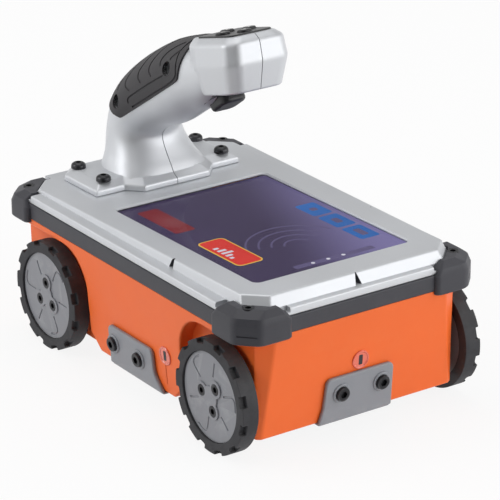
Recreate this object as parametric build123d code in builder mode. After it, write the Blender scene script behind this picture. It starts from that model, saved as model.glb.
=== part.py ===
from build123d import *
from math import atan, cos, degrees, radians, sin, tan
import os

os.makedirs("parts", exist_ok=True)

# Handheld concrete scanning radar, in millimetres: +Z up, front towards -Y,
# origin on the floor under its middle.
# Left and right are the operator's, who stands behind the handle, so the right side is -X.

# Wheels and axles
tyre_radius = 31.8
tyre_width = 10.0
tyre_face = 78.4
tyre_sides = 36
tread_notches = 12
tread_notch_length = 6.4
tread_notch_depth = 2.6
tread_notch_width = 3.0
hub_radius = 25.2
hub_set_in = 0.4
hub_plate = 6.5
hub_boss_height = 1.6
hub_sides = 36
hub_lobe_radius = 4.8
hub_lobe_sides = 10
hub_screw_circle = 7.8
hub_screw_count = 3
hub_core_radius = 6.2
front_hub_screw_angle = 50.0
rear_hub_screw_angle = 90.0
front_axle_inset = 29.9
rear_axle_inset = 43.9
axle_radius = 4.0
axle_end_cover = 2.4
running_clearance = 0.05
bush_wall = 2.4
bush_flange_lap = 2.2
bush_flange_thickness = 1.4
bush_gap = 0.4
bush_sides = 16

# Lower housing
draft = 4.5
wall = 3.0
housing_bottom = 11.9
housing_inset = 0.3
well_gap = 3.6
arch_gap = 3.9
arch_side_gap = 4.2
arch_corner = 22.0
arch_steps = 7
corner_steps = 3
fender_thickness = 4.0
sponson_chamfer = 9.5
facet_x = 7.0
facet_y = 5.0
facet_inset = 1.6

# Bumper rail and top cover
rail_half_x = 75.1
rail_half_y = 119.9
rail_height = 9.4
rail_depth = 7.0
rail_corner = 9.0
rim_inset = 0.5
rim_height = 4.65
plateau_inset_x = 7.4
plateau_inset_front = 4.4
plateau_inset_rear = 9.4
plateau_corner = 11.0
plateau_side_slope = 0.34
plateau_end_slope = 0.55
deck_height = 8.5
deck_tilt = 1.18
deck_thickness = 2.6
notch_width = 5.0

# Screen
screen_width = 101.3
screen_length = 137.7
screen_inset = 95.2
screen_corner = 3.5
screen_bevel = 0.8
glass_drop = 1.3
glass_thickness = 1.8
glass_lap = 2.4
glass_gap = 0.2
lcd_thickness = 6.0

# Corner bumpers
bumper_out_x = 3.2
bumper_out_y = 2.8
bumper_facet = 10.5
bumper_arm_front = 31.5
bumper_arm_rear = 27.5
bumper_drop = 2.0
bumper_rise_front = 1.9
bumper_rise_rear = 0.3
bumper_shoulder = 3.2
bumper_seat = 2.6
bumper_gap = 0.3
bumper_bevel_in = 7.0
bumper_screw_in_x = 11.3
bumper_screw_in_y = 12.5

# Handle: flange, neck and head
flange_inset = 31.9
flange_half_width = 48.7
flange_front = 22.0
flange_step = 9.0
flange_step_half = 22.0
flange_step_chamfer = 8.0
flange_rear = 21.0
flange_corner = 8.0
flange_edge = 3.5
flange_bevel_height = 3.4
flange_bevel_width = 5.5
flange_screw_x = 40.2
flange_screw_front = 16.0
flange_screw_rear = 11.0
# Neck sections, from the flange up: back and up from the flange's middle, half width, half depth, lean
neck_sections = (
    (-2.0, 6.2, 34.5, 25.5, 0.0),
    (-1.1, 10.0, 29.9, 23.5, 0.0),
    (0.3, 13.8, 26.8, 22.0, 0.0),
    (1.9, 18.1, 24.6, 20.7, 0.4),
    (3.0, 22.5, 23.3, 19.8, 3.0),
    (3.0, 29.1, 22.4, 19.1, 12.3),
    (1.0, 35.5, 22.0, 19.0, 24.0),
    (-4.6, 43.0, 21.7, 19.3, 37.0),
    (-12.0, 49.0, 21.5, 20.0, 46.0),
    (-21.5, 54.9, 21.0, 21.0, 54.0),
    (-31.0, 60.5, 20.5, 21.5, 59.0),
    (-41.6, 67.0, 20.2, 21.1, 60.9),
    (-52.5, 73.0, 20.0, 20.4, 62.0),
    (-73.0, 80.7, 19.5, 19.1, 68.5),
    (-88.0, 87.0, 19.0, 14.5, 74.5),
)
neck_half_width = 20.5
neck_sides = 20
head_back = -116.0
head_up = 98.0
head_tilt = 15.5
head_half_width = 21.0
head_top = 15.0
# Head sections across its height: height, front edge, half width, cut at the front corners
head_sections = (
    (-24.0, 9.9, 18.0, 5.4),
    (0.0, 0.0, 21.0, 6.0),
    (11.5, 0.0, 20.0, 6.0),
    (15.0, 3.6, 16.0, 5.0),
)
head_chin = 16.2
head_chin_back = 6.7
head_throat = 22.0
head_throat_back = 36.0
head_length = 46.0
head_taper_from = 34.0
head_tail_narrowing = 5.5
head_tail = 51.0

# Grip, its edges as points behind and above the flange's middle
grip_proud = 1.0
grip_depth = 2.0
grip_lower_rear = (-6.0, 38.0)
grip_lower_front = (-56.0, 71.0)
grip_front_low = (-63.0, 77.0)
grip_front_high = (-65.0, 101.0)
grip_rear_low = (7.0, 40.5)
grip_rear_high = (25.0, 47.0)
clamp_screw_front = (-51.3, 79.3)
clamp_screw_rear = (-1.1, 46.4)
clamp_recess_radius = 4.0
clamp_recess_depth = 7.0
clamp_head_radius = 3.4
clamp_head_height = 2.6
clamp_shank_radius = 1.8
clamp_shank_reach = 9.0

# Keypad
pad_half_width = 15.6
pad_front = 4.4
pad_length = 35.0
pad_corner = 3.0
pad_proud = 0.9
pad_plate = 1.9
pad_wall = 1.0
pad_inset = 1.0
board_thickness = 1.2
key_radius = 4.0
key_sides = 12
key_offset = 8.5
key_proud = 1.3
key_travel = 1.0
key_collar = 0.6
key_collar_thickness = 1.0
key_gap = 0.3
key_stop_gap = 0.5

# Trigger
trigger_back = -84.0
trigger_up = 63.1
trigger_lean = 35.2
trigger_half_width = 8.0
trigger_length = 19.0
trigger_corner = 5.0
trigger_edge = 2.0
trigger_proud = 5.5
trigger_travel = 2.2
trigger_gap = 0.3
trigger_lip = 2.0
trigger_collar = 1.5
trigger_collar_thickness = 2.0
trigger_boss_wall = 3.0
trigger_boss_depth = 18.0
switch_width = 8.0
switch_length = 14.0
switch_depth = 5.0

# Skid plate
skid_thickness = 2.9
skid_inset = 7.5
foot_inset = 1.0
tab_thickness = 2.5
front_tab_top = 37.7
front_tab_half_width = 20.0
front_tab_flare = 9.0
front_tab_flare_top = 26.5
front_tab_screw = 13.2
front_tab_screw_z = 27.9
side_tab_top = 35.1
side_tab_rear = 16.5
side_tab_window_gap = 10.9
side_tab_flare = 11.0
side_tab_flare_top = 26.5
side_tab_screw_rear_inset = 5.5
side_tab_screw_front_inset = 13.2
side_tab_screw_z = 24.9

# Lasers
window_radius = 4.5
window_sides = 16
window_proud = 1.0
front_window_z = 43.4
side_window_inset = 51.3
side_window_z = 35.2
laser_radius = 6.0
laser_length = 14.0

# Screws
screw_radius = 3.2
screw_head = 2.0
screw_sides = 10
screw_shank_radius = 1.6
shank_sides = 6
button_radius = 4.3
button_rim = 1.7
button_dome = 1.7
button_slope = 45.0
hole_clearance = 0.1

# Inside
antenna_inset = 80.9
antenna_width = 92.0
antenna_length = 70.0
antenna_height = 26.0
antenna_bevel = 4.0
main_board_width = 96.0
main_board_length = 96.0
main_board_thickness = 1.6
standoff_height = 9.0
standoff_radius = 3.0
standoff_sides = 8
standoff_inset = 8.0
battery_width = 76.0
battery_length = 44.0
battery_height = 20.0
battery_round = 4.0
battery_rib_x = 28.0
battery_rib_thickness = 2.4
encoder_x = 12.0
encoder_radius = 13.0
encoder_thickness = 1.2
encoder_slots = 8
encoder_slot_radius = 1.2
encoder_sides = 20
sensor_gap = 0.8
sensor_wall = 3.0
sensor_width = 12.0
sensor_overlap = 3.0

# Battery door in the rear wall
door_width = 84.0
door_height = 22.0
door_gap = 0.8
door_z = 55.5
hinge_radius = 2.6
hinge_out = 1.3
hinge_below = 1.2
hinge_lug = 6.0
hinge_gap = 0.4
pin_radius = 1.2
door_thumb_width = 18.0
door_thumb_depth = 1.2

# Heights and half sizes that follow from the sizes above
arch_top = 2 * tyre_radius + arch_gap
rail_bottom = arch_top + fender_thickness
rail_top = rail_bottom + rail_height
ledge = rail_top + rim_height
deck_z = rail_top + deck_height
housing_half_x = rail_half_x - housing_inset
housing_half_y = rail_half_y - housing_inset
housing_depth = rail_bottom - housing_bottom
floor_z = housing_bottom + wall
tyre_inner_face = tyre_face - tyre_width
well_wall_x = tyre_inner_face - well_gap
arch_reach = tyre_radius + arch_side_gap
plateau_half_x = rail_half_x - plateau_inset_x
plateau_half_y = rail_half_y - (plateau_inset_front + plateau_inset_rear) / 2
plateau_y = (plateau_inset_front - plateau_inset_rear) / 2
front_axle_y = front_axle_inset - rail_half_y
rear_axle_y = rail_half_y - rear_axle_inset
flange_y = rail_half_y - flange_inset
screen_y = screen_inset - rail_half_y
antenna_y = antenna_inset - rail_half_y
side_window_y = front_axle_y + side_window_inset
side_tab_front = side_window_y + side_tab_window_gap
side_tab_screw_front = side_tab_front + side_tab_screw_front_inset
side_tab_screw_rear = side_tab_rear - side_tab_screw_rear_inset
bumper_half_x = rail_half_x + bumper_out_x
bumper_half_y = rail_half_y + bumper_out_y
hub_face = tyre_face - hub_set_in
hub_back = hub_face - hub_boss_height - hub_plate
bush_bore = axle_radius + running_clearance
bush_radius = bush_bore + bush_wall
bush_face = well_wall_x + bush_flange_thickness
skid_bottom = housing_bottom - skid_thickness
outline_margin = 5.0
pad_recess = (
    pad_plate - pad_proud + key_gap + key_collar_thickness + key_travel + key_stop_gap + board_thickness
)

# Planes that pieces share
downward = Plane(origin=(0, 0, rail_bottom), x_dir=(1, 0, 0), z_dir=(0, 0, -1))
deck = Plane(
    origin=(0, 0, deck_z),
    x_dir=(1, 0, 0),
    z_dir=(0, sin(radians(deck_tilt)), cos(radians(deck_tilt))),
)
deck_below = Plane(origin=deck.origin, x_dir=(1, 0, 0), z_dir=deck.z_dir * -1)
foot = Vector(0, flange_y * cos(radians(deck_tilt)), deck_z - flange_y * sin(radians(deck_tilt)))
sagittal = Plane(origin=foot, x_dir=(0, 1, 0), z_dir=(1, 0, 0))
head_axis = Vector(0, cos(radians(head_tilt)), -sin(radians(head_tilt)))
head_normal = Vector(0, sin(radians(head_tilt)), cos(radians(head_tilt)))
head_nose = foot + Vector(0, head_back, head_up)
head_plan = Plane(origin=head_nose, x_dir=(1, 0, 0), z_dir=head_normal)
head_side = Plane(origin=head_nose, x_dir=head_axis, z_dir=(1, 0, 0))
trigger_face = Plane(
    origin=foot + Vector(0, trigger_back, trigger_up),
    x_dir=(1, 0, 0),
    z_dir=(0, -sin(radians(trigger_lean)), -cos(radians(trigger_lean))),
)


def wall_inset(z):
    """How far the drafted wall stands in at a height, from where it meets the rail."""
    return (rail_bottom - z) * tan(radians(draft))


def front_wall(z):
    """Plane on the outside of the front wall at a height, looking out, with its second axis up the wall."""
    lean = radians(draft)
    return Plane(
        origin=(0, -(housing_half_y - wall_inset(z)), z),
        x_dir=(1, 0, 0),
        z_dir=(0, -cos(lean), -sin(lean)),
    )


def rear_wall(z):
    """The same on the rear wall."""
    lean = radians(draft)
    return Plane(
        origin=(0, housing_half_y - wall_inset(z), z),
        x_dir=(-1, 0, 0),
        z_dir=(0, cos(lean), -sin(lean)),
    )


def right_wall(y, z):
    """The same on the right wall, at a place along it, with its first axis forward."""
    lean = radians(draft)
    return Plane(
        origin=(-(housing_half_x - wall_inset(z)), y, z),
        x_dir=(0, -1, 0),
        z_dir=(-cos(lean), 0, -sin(lean)),
    )


def hub_face_plane(axle_y, side, x):
    """Plane square to an axle, at a distance from the middle, looking out, with its second axis up."""
    return Plane(origin=(side * x, axle_y, tyre_radius), x_dir=(0, side, 0), z_dir=(side, 0, 0))


def save(builder, name):
    """Label a finished piece and write it."""
    builder.part.label = name
    export_step(builder.part, f"parts/{name}.step")


def cut_corner_plate(half_x, half_y, corner, plane):
    """Rectangle with its four corners cut at 45 degrees."""
    with BuildSketch(plane) as plate:
        Rectangle(2 * half_x, 2 * half_y)
        chamfer(plate.vertices(), length=corner)
    return plate.sketch


def soft_box(width, length, corner):
    """Points of a rectangle whose corners turn in a few straight steps."""
    points = []
    for turn, (side, end) in enumerate(((1, 1), (-1, 1), (-1, -1), (1, -1))):
        for step in range(corner_steps + 1):
            t = radians(90 * (turn + step / corner_steps))
            x = side * (width / 2 - corner) + corner * cos(t)
            y = end * (length / 2 - corner) + corner * sin(t)
            points.append((x, y))
    return points


def wheel_wells(grow, top):
    """Room for the four wheels, open outwards and to the ends, wider by grow and up to a height."""
    low = housing_bottom - outline_margin
    side = Plane(origin=(well_wall_x - grow, 0, 0), x_dir=(0, 1, 0), z_dir=(1, 0, 0))
    with BuildPart() as wells:
        for axle_y, inward in ((front_axle_y, 1), (rear_axle_y, -1)):
            edge = axle_y + inward * (arch_reach + grow)
            end = -inward * (housing_half_y + outline_margin)
            knee = housing_bottom + sponson_chamfer + grow
            crown = arch_corner + top - arch_top
            turns = [radians(90 * step / arch_steps) for step in range(arch_steps + 1)]
            bend = [(edge - inward * crown * (1 - cos(t)), top - crown * (1 - sin(t))) for t in turns]
            with BuildSketch(side):
                with BuildLine():
                    Polyline(
                        (end, low),
                        (edge + inward * (knee - low), low),
                        (edge, knee),
                        *bend,
                        (end, top),
                        close=True,
                    )
                make_face()
            extrude(amount=rail_half_x)
            corner = Vector(well_wall_x, -inward * (housing_half_y - facet_inset - facet_y))
            slant = Vector(-facet_x, -inward * facet_y)
            shift = Vector(-facet_y, inward * facet_x).normalized() * grow
            start = corner + shift - slant
            finish = corner + shift + slant * 2
            with BuildSketch(Plane.XY.offset(low)):
                with BuildLine():
                    Polyline((start.X, start.Y), (finish.X, finish.Y), (start.X, finish.Y), close=True)
                make_face()
            extrude(amount=top - low)
        mirror(about=Plane.YZ)
    return wells.part


# Lower housing: a drafted tub, hollow inside, with a well for each wheel
wells = wheel_wells(0, arch_top)
well_keep_out = wheel_wells(wall, rail_bottom + wall)
battery_bottom = rail_bottom - battery_height - wall / 2
battery_rear = housing_half_y - wall - wall_inset(battery_bottom) - wall / 2
battery_front = battery_rear - battery_length
door_plane = rear_wall(door_z)
hinge_axis = Plane(
    origin=door_plane.from_local_coords((0, -door_height / 2 - hinge_below, hinge_out)),
    x_dir=door_plane.y_dir,
    z_dir=(1, 0, 0),
)
with BuildPart() as housing_cavity:
    with BuildSketch(downward):
        add(cut_corner_plate(housing_half_x - wall, housing_half_y - wall, rail_corner, Plane.XY))
    extrude(amount=housing_depth - wall, taper=draft)
    add(well_keep_out, mode=Mode.SUBTRACT)
with BuildPart() as battery_ribs:
    with BuildSketch(Plane.XY.offset(floor_z)):
        with Locations((-battery_rib_x, (battery_front + battery_rear) / 2)):
            Rectangle(battery_rib_thickness, battery_length)
        with Locations((battery_rib_x, (battery_front + battery_rear) / 2)):
            Rectangle(battery_rib_thickness, battery_length)
    extrude(amount=battery_bottom - floor_z)
    add(housing_cavity.part, mode=Mode.INTERSECT)
with BuildPart() as lower_housing:
    with BuildSketch(downward):
        add(cut_corner_plate(housing_half_x, housing_half_y, rail_corner, Plane.XY))
    extrude(amount=housing_depth, taper=draft)
    add(wells, mode=Mode.SUBTRACT)
    add(housing_cavity.part, mode=Mode.SUBTRACT)
    add(battery_ribs.part)
    for axle_y in (front_axle_y, rear_axle_y):
        with BuildSketch(hub_face_plane(axle_y, 1, well_wall_x)):
            RegularPolygon(bush_radius, bush_sides)
        extrude(amount=-2 * well_wall_x, mode=Mode.SUBTRACT)
    with BuildSketch(door_plane):
        Rectangle(door_width, door_height)
    extrude(amount=-2 * wall, mode=Mode.SUBTRACT)
    with BuildSketch(hinge_axis):
        Circle(hinge_radius)
    extrude(amount=door_width / 2, both=True)
    with BuildSketch(hinge_axis):
        Circle(hinge_radius + hinge_gap)
    extrude(amount=door_width / 2 - hinge_lug, both=True, mode=Mode.SUBTRACT)
    with BuildSketch(hinge_axis):
        Circle(pin_radius)
    extrude(amount=door_width / 2, both=True, mode=Mode.SUBTRACT)
    with BuildSketch(front_wall(front_window_z)):
        RegularPolygon(window_radius, window_sides)
    extrude(amount=-2 * wall, mode=Mode.SUBTRACT)
    with BuildSketch(right_wall(side_window_y, side_window_z)) as side_hole:
        RegularPolygon(window_radius, window_sides)
    extrude(amount=-2 * wall, mode=Mode.SUBTRACT)
    left_hole = extrude(side_hole.sketch, amount=-2 * wall, mode=Mode.PRIVATE)
    mirror(left_hole, about=Plane.YZ, mode=Mode.SUBTRACT)
save(lower_housing, "lower_housing")

# Bumper rail: the band between the housing and the cover
with BuildPart() as bumper_rail:
    extrude(
        cut_corner_plate(rail_half_x, rail_half_y, rail_corner, Plane.XY.offset(rail_bottom)),
        amount=rail_height,
    )
    with BuildSketch(Plane.XY.offset(rail_bottom)):
        Rectangle(2 * (rail_half_x - rail_depth), 2 * (rail_half_y - rail_depth))
    extrude(amount=rail_height, mode=Mode.SUBTRACT)
save(bumper_rail, "bumper_rail")


def bumper_footprint(plane, side, end, reach, gap):
    """Plan of a corner bumper, between its outer faces and the wall of the plateau."""
    out_x = bumper_half_x
    out_y = bumper_half_y
    in_x = plateau_half_x + gap
    in_y = plateau_half_y + end * plateau_y + gap
    arm_x = out_x - reach
    arm_y = out_y - reach
    points = (
        (arm_x, out_y),
        (out_x - bumper_facet, out_y),
        (out_x, out_y - bumper_facet),
        (out_x, arm_y),
        (in_x, arm_y),
        (in_x, in_y - plateau_corner),
        (in_x - plateau_corner, in_y),
        (arm_x, in_y),
    )
    with BuildSketch(plane) as footprint:
        with BuildLine():
            Polyline([(side * x, end * y) for x, y in points], close=True)
        make_face()
    return footprint.sketch


# Corners: side, end, length of the bumper's arms, height of its top
corners = {
    "front_left": (1, -1, bumper_arm_front, ledge + bumper_rise_front),
    "front_right": (-1, -1, bumper_arm_front, ledge + bumper_rise_front),
    "rear_left": (1, 1, bumper_arm_rear, ledge + bumper_rise_rear),
    "rear_right": (-1, 1, bumper_arm_rear, ledge + bumper_rise_rear),
}
seat_z = ledge - bumper_seat
bumper_bottom = rail_bottom - bumper_drop
bumper_shoulder_z = rail_top + bumper_shoulder
bumper_screw_x = bumper_half_x - bumper_screw_in_x
bumper_screw_y = bumper_half_y - bumper_screw_in_y

# Top cover: a ledge, and a low plateau with a tilted top that holds the screen
plateau_rise = ledge - rail_top + deck_height
with BuildPart() as cover_cavity:
    inner = Plane(origin=(0, plateau_y, rail_top))
    side_in = plateau_side_slope * plateau_rise + deck_thickness
    end_in = plateau_end_slope * plateau_rise + deck_thickness
    extrude(
        cut_corner_plate(plateau_half_x - side_in, plateau_half_y - end_in, plateau_corner, inner),
        amount=2 * plateau_rise,
    )
    split(bisect_by=deck.offset(-deck_thickness), keep=Keep.BOTTOM)
pockets = [
    bumper_footprint(Plane.XY.offset(seat_z), side, end, arm + bumper_gap, 0)
    for side, end, arm, top in corners.values()
]
flange_screw_places = [
    (side * flange_screw_x, flange_y + along)
    for side in (-1, 1)
    for along in (-flange_screw_front, flange_screw_rear)
]
with BuildPart() as top_cover:
    plateau_base = Plane(origin=(0, plateau_y, ledge))
    add(cut_corner_plate(plateau_half_x, plateau_half_y, plateau_corner, plateau_base))
    add(
        cut_corner_plate(
            plateau_half_x - plateau_side_slope * plateau_rise,
            plateau_half_y - plateau_end_slope * plateau_rise,
            plateau_corner,
            plateau_base.offset(plateau_rise),
        )
    )
    loft(ruled=True)
    split(bisect_by=deck, keep=Keep.BOTTOM)
    extrude(
        cut_corner_plate(
            rail_half_x - rim_inset, rail_half_y - rim_inset, rail_corner, Plane.XY.offset(rail_top)
        ),
        amount=rim_height,
    )
    for pocket in pockets:
        extrude(pocket, amount=bumper_seat, mode=Mode.SUBTRACT)
    add(cover_cavity.part, mode=Mode.SUBTRACT)
    with BuildSketch(deck):
        with Locations((0, screen_y)):
            Polygon(*soft_box(screen_width, screen_length, screen_corner))
    extrude(amount=-2 * deck_thickness, mode=Mode.SUBTRACT)
    with BuildSketch(deck_below):
        with Locations((0, -screen_y)):
            Polygon(*soft_box(
                screen_width + 2 * screen_bevel,
                screen_length + 2 * screen_bevel,
                screen_corner + screen_bevel,
            ))
    extrude(amount=screen_bevel, taper=45, mode=Mode.SUBTRACT)
    with BuildSketch(deck.offset(-glass_drop)):
        with Locations((0, screen_y)):
            Polygon(*soft_box(screen_width + 2 * glass_lap, screen_length + 2 * glass_lap, screen_corner))
    extrude(amount=-2 * deck_thickness, mode=Mode.SUBTRACT)
    with BuildSketch(deck):
        with Locations(*flange_screw_places):
            RegularPolygon(screw_shank_radius + hole_clearance, shank_sides)
    extrude(amount=-2 * deck_thickness, mode=Mode.SUBTRACT)
    plateau_front = plateau_y - plateau_half_y
    with BuildSketch(Plane.XY.offset(ledge)):
        with BuildLine():
            Polyline(
                (-notch_width / 2, plateau_front),
                (notch_width / 2, plateau_front),
                (0, plateau_front + plateau_end_slope * (deck_z - ledge)),
                close=True,
            )
        make_face()
        for side in (-1, 1):
            with BuildLine():
                Polyline(
                    (side * plateau_half_x, antenna_y - notch_width / 2),
                    (side * plateau_half_x, antenna_y + notch_width / 2),
                    (side * (plateau_half_x - plateau_side_slope * (deck_z - ledge)), antenna_y),
                    close=True,
                )
            make_face()
    extrude(amount=plateau_rise, mode=Mode.SUBTRACT)
save(top_cover, "top_cover")

# Screen: a glass set up into the cover from below, with the display bonded under it
with BuildPart() as screen_glass:
    with BuildSketch(deck.offset(-glass_drop)):
        with Locations((0, screen_y)):
            Polygon(*soft_box(
                screen_width + 2 * (glass_lap - glass_gap),
                screen_length + 2 * (glass_lap - glass_gap),
                screen_corner,
            ))
    extrude(amount=-glass_thickness)
save(screen_glass, "screen_glass")
with BuildPart() as lcd_panel:
    with BuildSketch(deck.offset(-glass_drop - glass_thickness)):
        with Locations((0, screen_y)):
            Rectangle(screen_width, screen_length)
    extrude(amount=-lcd_thickness)
save(lcd_panel, "lcd_panel")


def bumper_hood(top):
    """The bumpers' outer form over the whole plan: upright sides, and a bevel over the shoulder."""
    shoulder = Plane.XY.offset(bumper_shoulder_z)
    with BuildPart() as hood:
        add(cut_corner_plate(bumper_half_x, bumper_half_y, bumper_facet, shoulder))
        add(
            cut_corner_plate(
                bumper_half_x - bumper_bevel_in,
                bumper_half_y - bumper_bevel_in,
                bumper_facet,
                Plane.XY.offset(top),
            )
        )
        loft(ruled=True)
        extrude(
            cut_corner_plate(
                bumper_half_x, bumper_half_y, bumper_facet, Plane.XY.offset(bumper_bottom)
            ),
            amount=bumper_shoulder_z - bumper_bottom,
        )
    return hood.part


# Corner bumpers: guards that wrap the rail and sit in the ledge's corner pockets
for corner_name, (side, end, arm, bumper_top) in corners.items():
    with BuildPart() as corner_bumper:
        extrude(
            bumper_footprint(Plane.XY.offset(bumper_bottom), side, end, arm, bumper_gap),
            amount=bumper_top - bumper_bottom,
        )
        add(bumper_hood(bumper_top), mode=Mode.INTERSECT)
        extrude(
            cut_corner_plate(rail_half_x, rail_half_y, rail_corner, Plane.XY.offset(bumper_bottom)),
            amount=seat_z - bumper_bottom,
            mode=Mode.SUBTRACT,
        )
        with BuildSketch(Plane.XY.offset(bumper_top - screw_head)):
            with Locations((side * bumper_screw_x, end * bumper_screw_y)):
                RegularPolygon(screw_radius + hole_clearance, screw_sides)
        extrude(amount=screw_head, mode=Mode.SUBTRACT)
        with BuildSketch(Plane.XY.offset(seat_z)):
            with Locations((side * bumper_screw_x, end * bumper_screw_y)):
                RegularPolygon(screw_shank_radius + hole_clearance, shank_sides)
        extrude(amount=bumper_top - seat_z, mode=Mode.SUBTRACT)
    save(corner_bumper, f"corner_bumper_{corner_name}")


def socket_screw(plane, places, shank_length):
    """Cap screws whose heads stand on a plane."""
    with BuildPart() as screws:
        with BuildSketch(plane):
            with Locations(*places):
                RegularPolygon(screw_radius, screw_sides)
        extrude(amount=screw_head)
        with BuildSketch(plane):
            with Locations(*places):
                RegularPolygon(screw_shank_radius, shank_sides)
        extrude(amount=-shank_length)
    return screws.part


# Screws that hold the corner bumpers down, their heads let into the tops
with BuildPart() as corner_bumper_screws:
    for side, end, arm, bumper_top in corners.values():
        head_seat = bumper_top - screw_head
        place = (side * bumper_screw_x, end * bumper_screw_y)
        add(socket_screw(Plane.XY.offset(head_seat), [place], head_seat - seat_z))
save(corner_bumper_screws, "corner_bumper_screws")

# Handle: a bevelled flange, a bent neck and a faceted head, cast as two halves
flange_outline = [
    (-flange_half_width, -flange_front),
    (-flange_step_half - flange_step_chamfer, -flange_front),
    (-flange_step_half, -flange_front - flange_step),
    (flange_step_half, -flange_front - flange_step),
    (flange_step_half + flange_step_chamfer, -flange_front),
    (flange_half_width, -flange_front),
    (flange_half_width, flange_rear - flange_corner),
    (flange_half_width - flange_corner, flange_rear),
    (-flange_half_width + flange_corner, flange_rear),
    (-flange_half_width, flange_rear - flange_corner),
]
flange_height = flange_edge + flange_bevel_height


def neck(grow):
    """The bent neck, lofted through many-sided ovals that are larger all round by grow."""
    turns = [radians(360 * step / neck_sides) for step in range(neck_sides)]
    with BuildPart() as bend:
        for back, up, half_width, half_depth, lean in neck_sections:
            angle = radians(lean)
            station = Plane(
                origin=foot + Vector(0, back, up), x_dir=(1, 0, 0), z_dir=(0, -sin(angle), cos(angle))
            )
            with BuildSketch(station):
                with BuildLine():
                    Polyline(
                        [((half_width + grow) * cos(t), (half_depth + grow) * sin(t)) for t in turns],
                        close=True,
                    )
                make_face()
        loft(ruled=True)
    return bend.part


def clamp_hole(place, radius, start, length):
    """Round bar across the handle, from a distance on the right of the middle plane."""
    plane = Plane(origin=foot + Vector(-start, place[0], place[1]), x_dir=(0, 1, 0), z_dir=(1, 0, 0))
    with BuildPart() as bar:
        with BuildSketch(plane):
            RegularPolygon(radius, screw_sides)
        extrude(amount=length)
    return bar.part


clamp_places = (clamp_screw_front, clamp_screw_rear)
clamp_start = head_half_width + clamp_recess_depth
clamp_seat = neck_half_width - clamp_recess_depth
neck_blank = neck(0)
neck_skin = neck(grip_proud)
neck_core = neck(-grip_depth)
clamp_recesses = [
    clamp_hole(place, clamp_recess_radius, clamp_start, clamp_start - clamp_seat) for place in clamp_places
]
clamp_shank_holes = [
    clamp_hole(place, clamp_shank_radius + hole_clearance, clamp_seat, clamp_seat + clamp_shank_reach)
    for place in clamp_places
]

# Grip: a rubber skin let into the top of the neck
with BuildPart() as handle_grip:
    add(neck_skin)
    with BuildSketch(sagittal):
        with BuildLine():
            edge_low = Line(grip_lower_rear, grip_lower_front)
            edge_turn = TangentArc(edge_low @ 1, grip_front_low, tangent=edge_low % 1)
            edge_front = Line(edge_turn @ 1, grip_front_high)
            over = Polyline(
                edge_front @ 1,
                (grip_front_high[0], head_up + outline_margin),
                (grip_rear_high[0] + outline_margin * 3, head_up + outline_margin),
                (grip_rear_high[0] + outline_margin * 3, grip_rear_high[1]),
                grip_rear_high,
            )
            ThreePointArc(over @ 1, grip_rear_low, edge_low @ 0)
        make_face()
    extrude(amount=head_half_width * 2, both=True, mode=Mode.INTERSECT)
    add([neck_core, *clamp_recesses], mode=Mode.SUBTRACT)
save(handle_grip, "handle_grip")

chin_slope = (head_throat - head_chin) / (head_throat_back - head_chin_back)
with BuildPart() as head_profile:
    with BuildSketch(head_side):
        with BuildLine():
            Polyline(
                (-outline_margin, -head_chin + (head_chin_back + outline_margin) * chin_slope),
                (head_throat_back, -head_throat),
                (head_length, 0),
                (head_length, head_top),
                (-outline_margin, head_top),
                close=True,
            )
        make_face()
    extrude(amount=head_half_width * 2, both=True)
with BuildPart() as head:
    for height, front, half_width, corner in head_sections:
        with BuildSketch(head_plan.offset(height)):
            with BuildLine():
                Polyline(
                    (-half_width + corner, front),
                    (half_width - corner, front),
                    (half_width, front + corner),
                    (half_width, head_taper_from),
                    (half_width - head_tail_narrowing, head_tail),
                    (-half_width + head_tail_narrowing, head_tail),
                    (-half_width, head_taper_from),
                    (-half_width, front + corner),
                    close=True,
                )
            make_face()
    loft(ruled=True)
    add(head_profile.part, mode=Mode.INTERSECT)

pad_middle = (0, pad_front + pad_length / 2)
pad_floor = head_top - pad_recess
board_width = 2 * (pad_half_width - pad_inset - key_gap)
board_length = pad_length - 2 * (pad_inset + key_gap)
key_places = {
    "front": (0, pad_middle[1] - key_offset),
    "rear": (0, pad_middle[1] + key_offset),
    "right": (-key_offset, pad_middle[1]),
    "left": (key_offset, pad_middle[1]),
}
boss_face = -trigger_proud
chamber_top = boss_face - trigger_lip
chamber_floor = chamber_top - trigger_collar_thickness - trigger_travel - 2 * trigger_gap
with BuildPart() as handle_cuts:
    with BuildSketch(head_plan.offset(pad_floor)):
        with Locations(pad_middle):
            Polygon(*soft_box(2 * (pad_half_width - pad_inset), pad_length - 2 * pad_inset, pad_corner))
    extrude(amount=head_top)
    with BuildSketch(head_plan.offset(head_top)):
        with Locations(pad_middle):
            Polygon(*soft_box(2 * pad_half_width, pad_length, pad_corner))
    extrude(amount=head_top)
    with BuildSketch(trigger_face):
        Polygon(*soft_box(
            2 * (trigger_half_width + trigger_gap),
            trigger_length + 2 * trigger_gap,
            trigger_corner + trigger_gap,
        ))
    extrude(amount=chamber_floor)
    with BuildSketch(trigger_face.offset(chamber_top)):
        Polygon(*soft_box(
            2 * (trigger_half_width + trigger_collar + trigger_gap),
            trigger_length + 2 * (trigger_collar + trigger_gap),
            trigger_corner + trigger_collar + trigger_gap,
        ))
    extrude(amount=chamber_floor - chamber_top)
    with BuildSketch(trigger_face.offset(chamber_floor)):
        Rectangle(switch_width, switch_length)
    extrude(amount=-switch_depth)
    with BuildSketch(deck):
        with Locations(*flange_screw_places):
            RegularPolygon(screw_shank_radius + hole_clearance, shank_sides)
    extrude(amount=flange_height)
    add(clamp_recesses)
    add(clamp_shank_holes)
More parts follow.
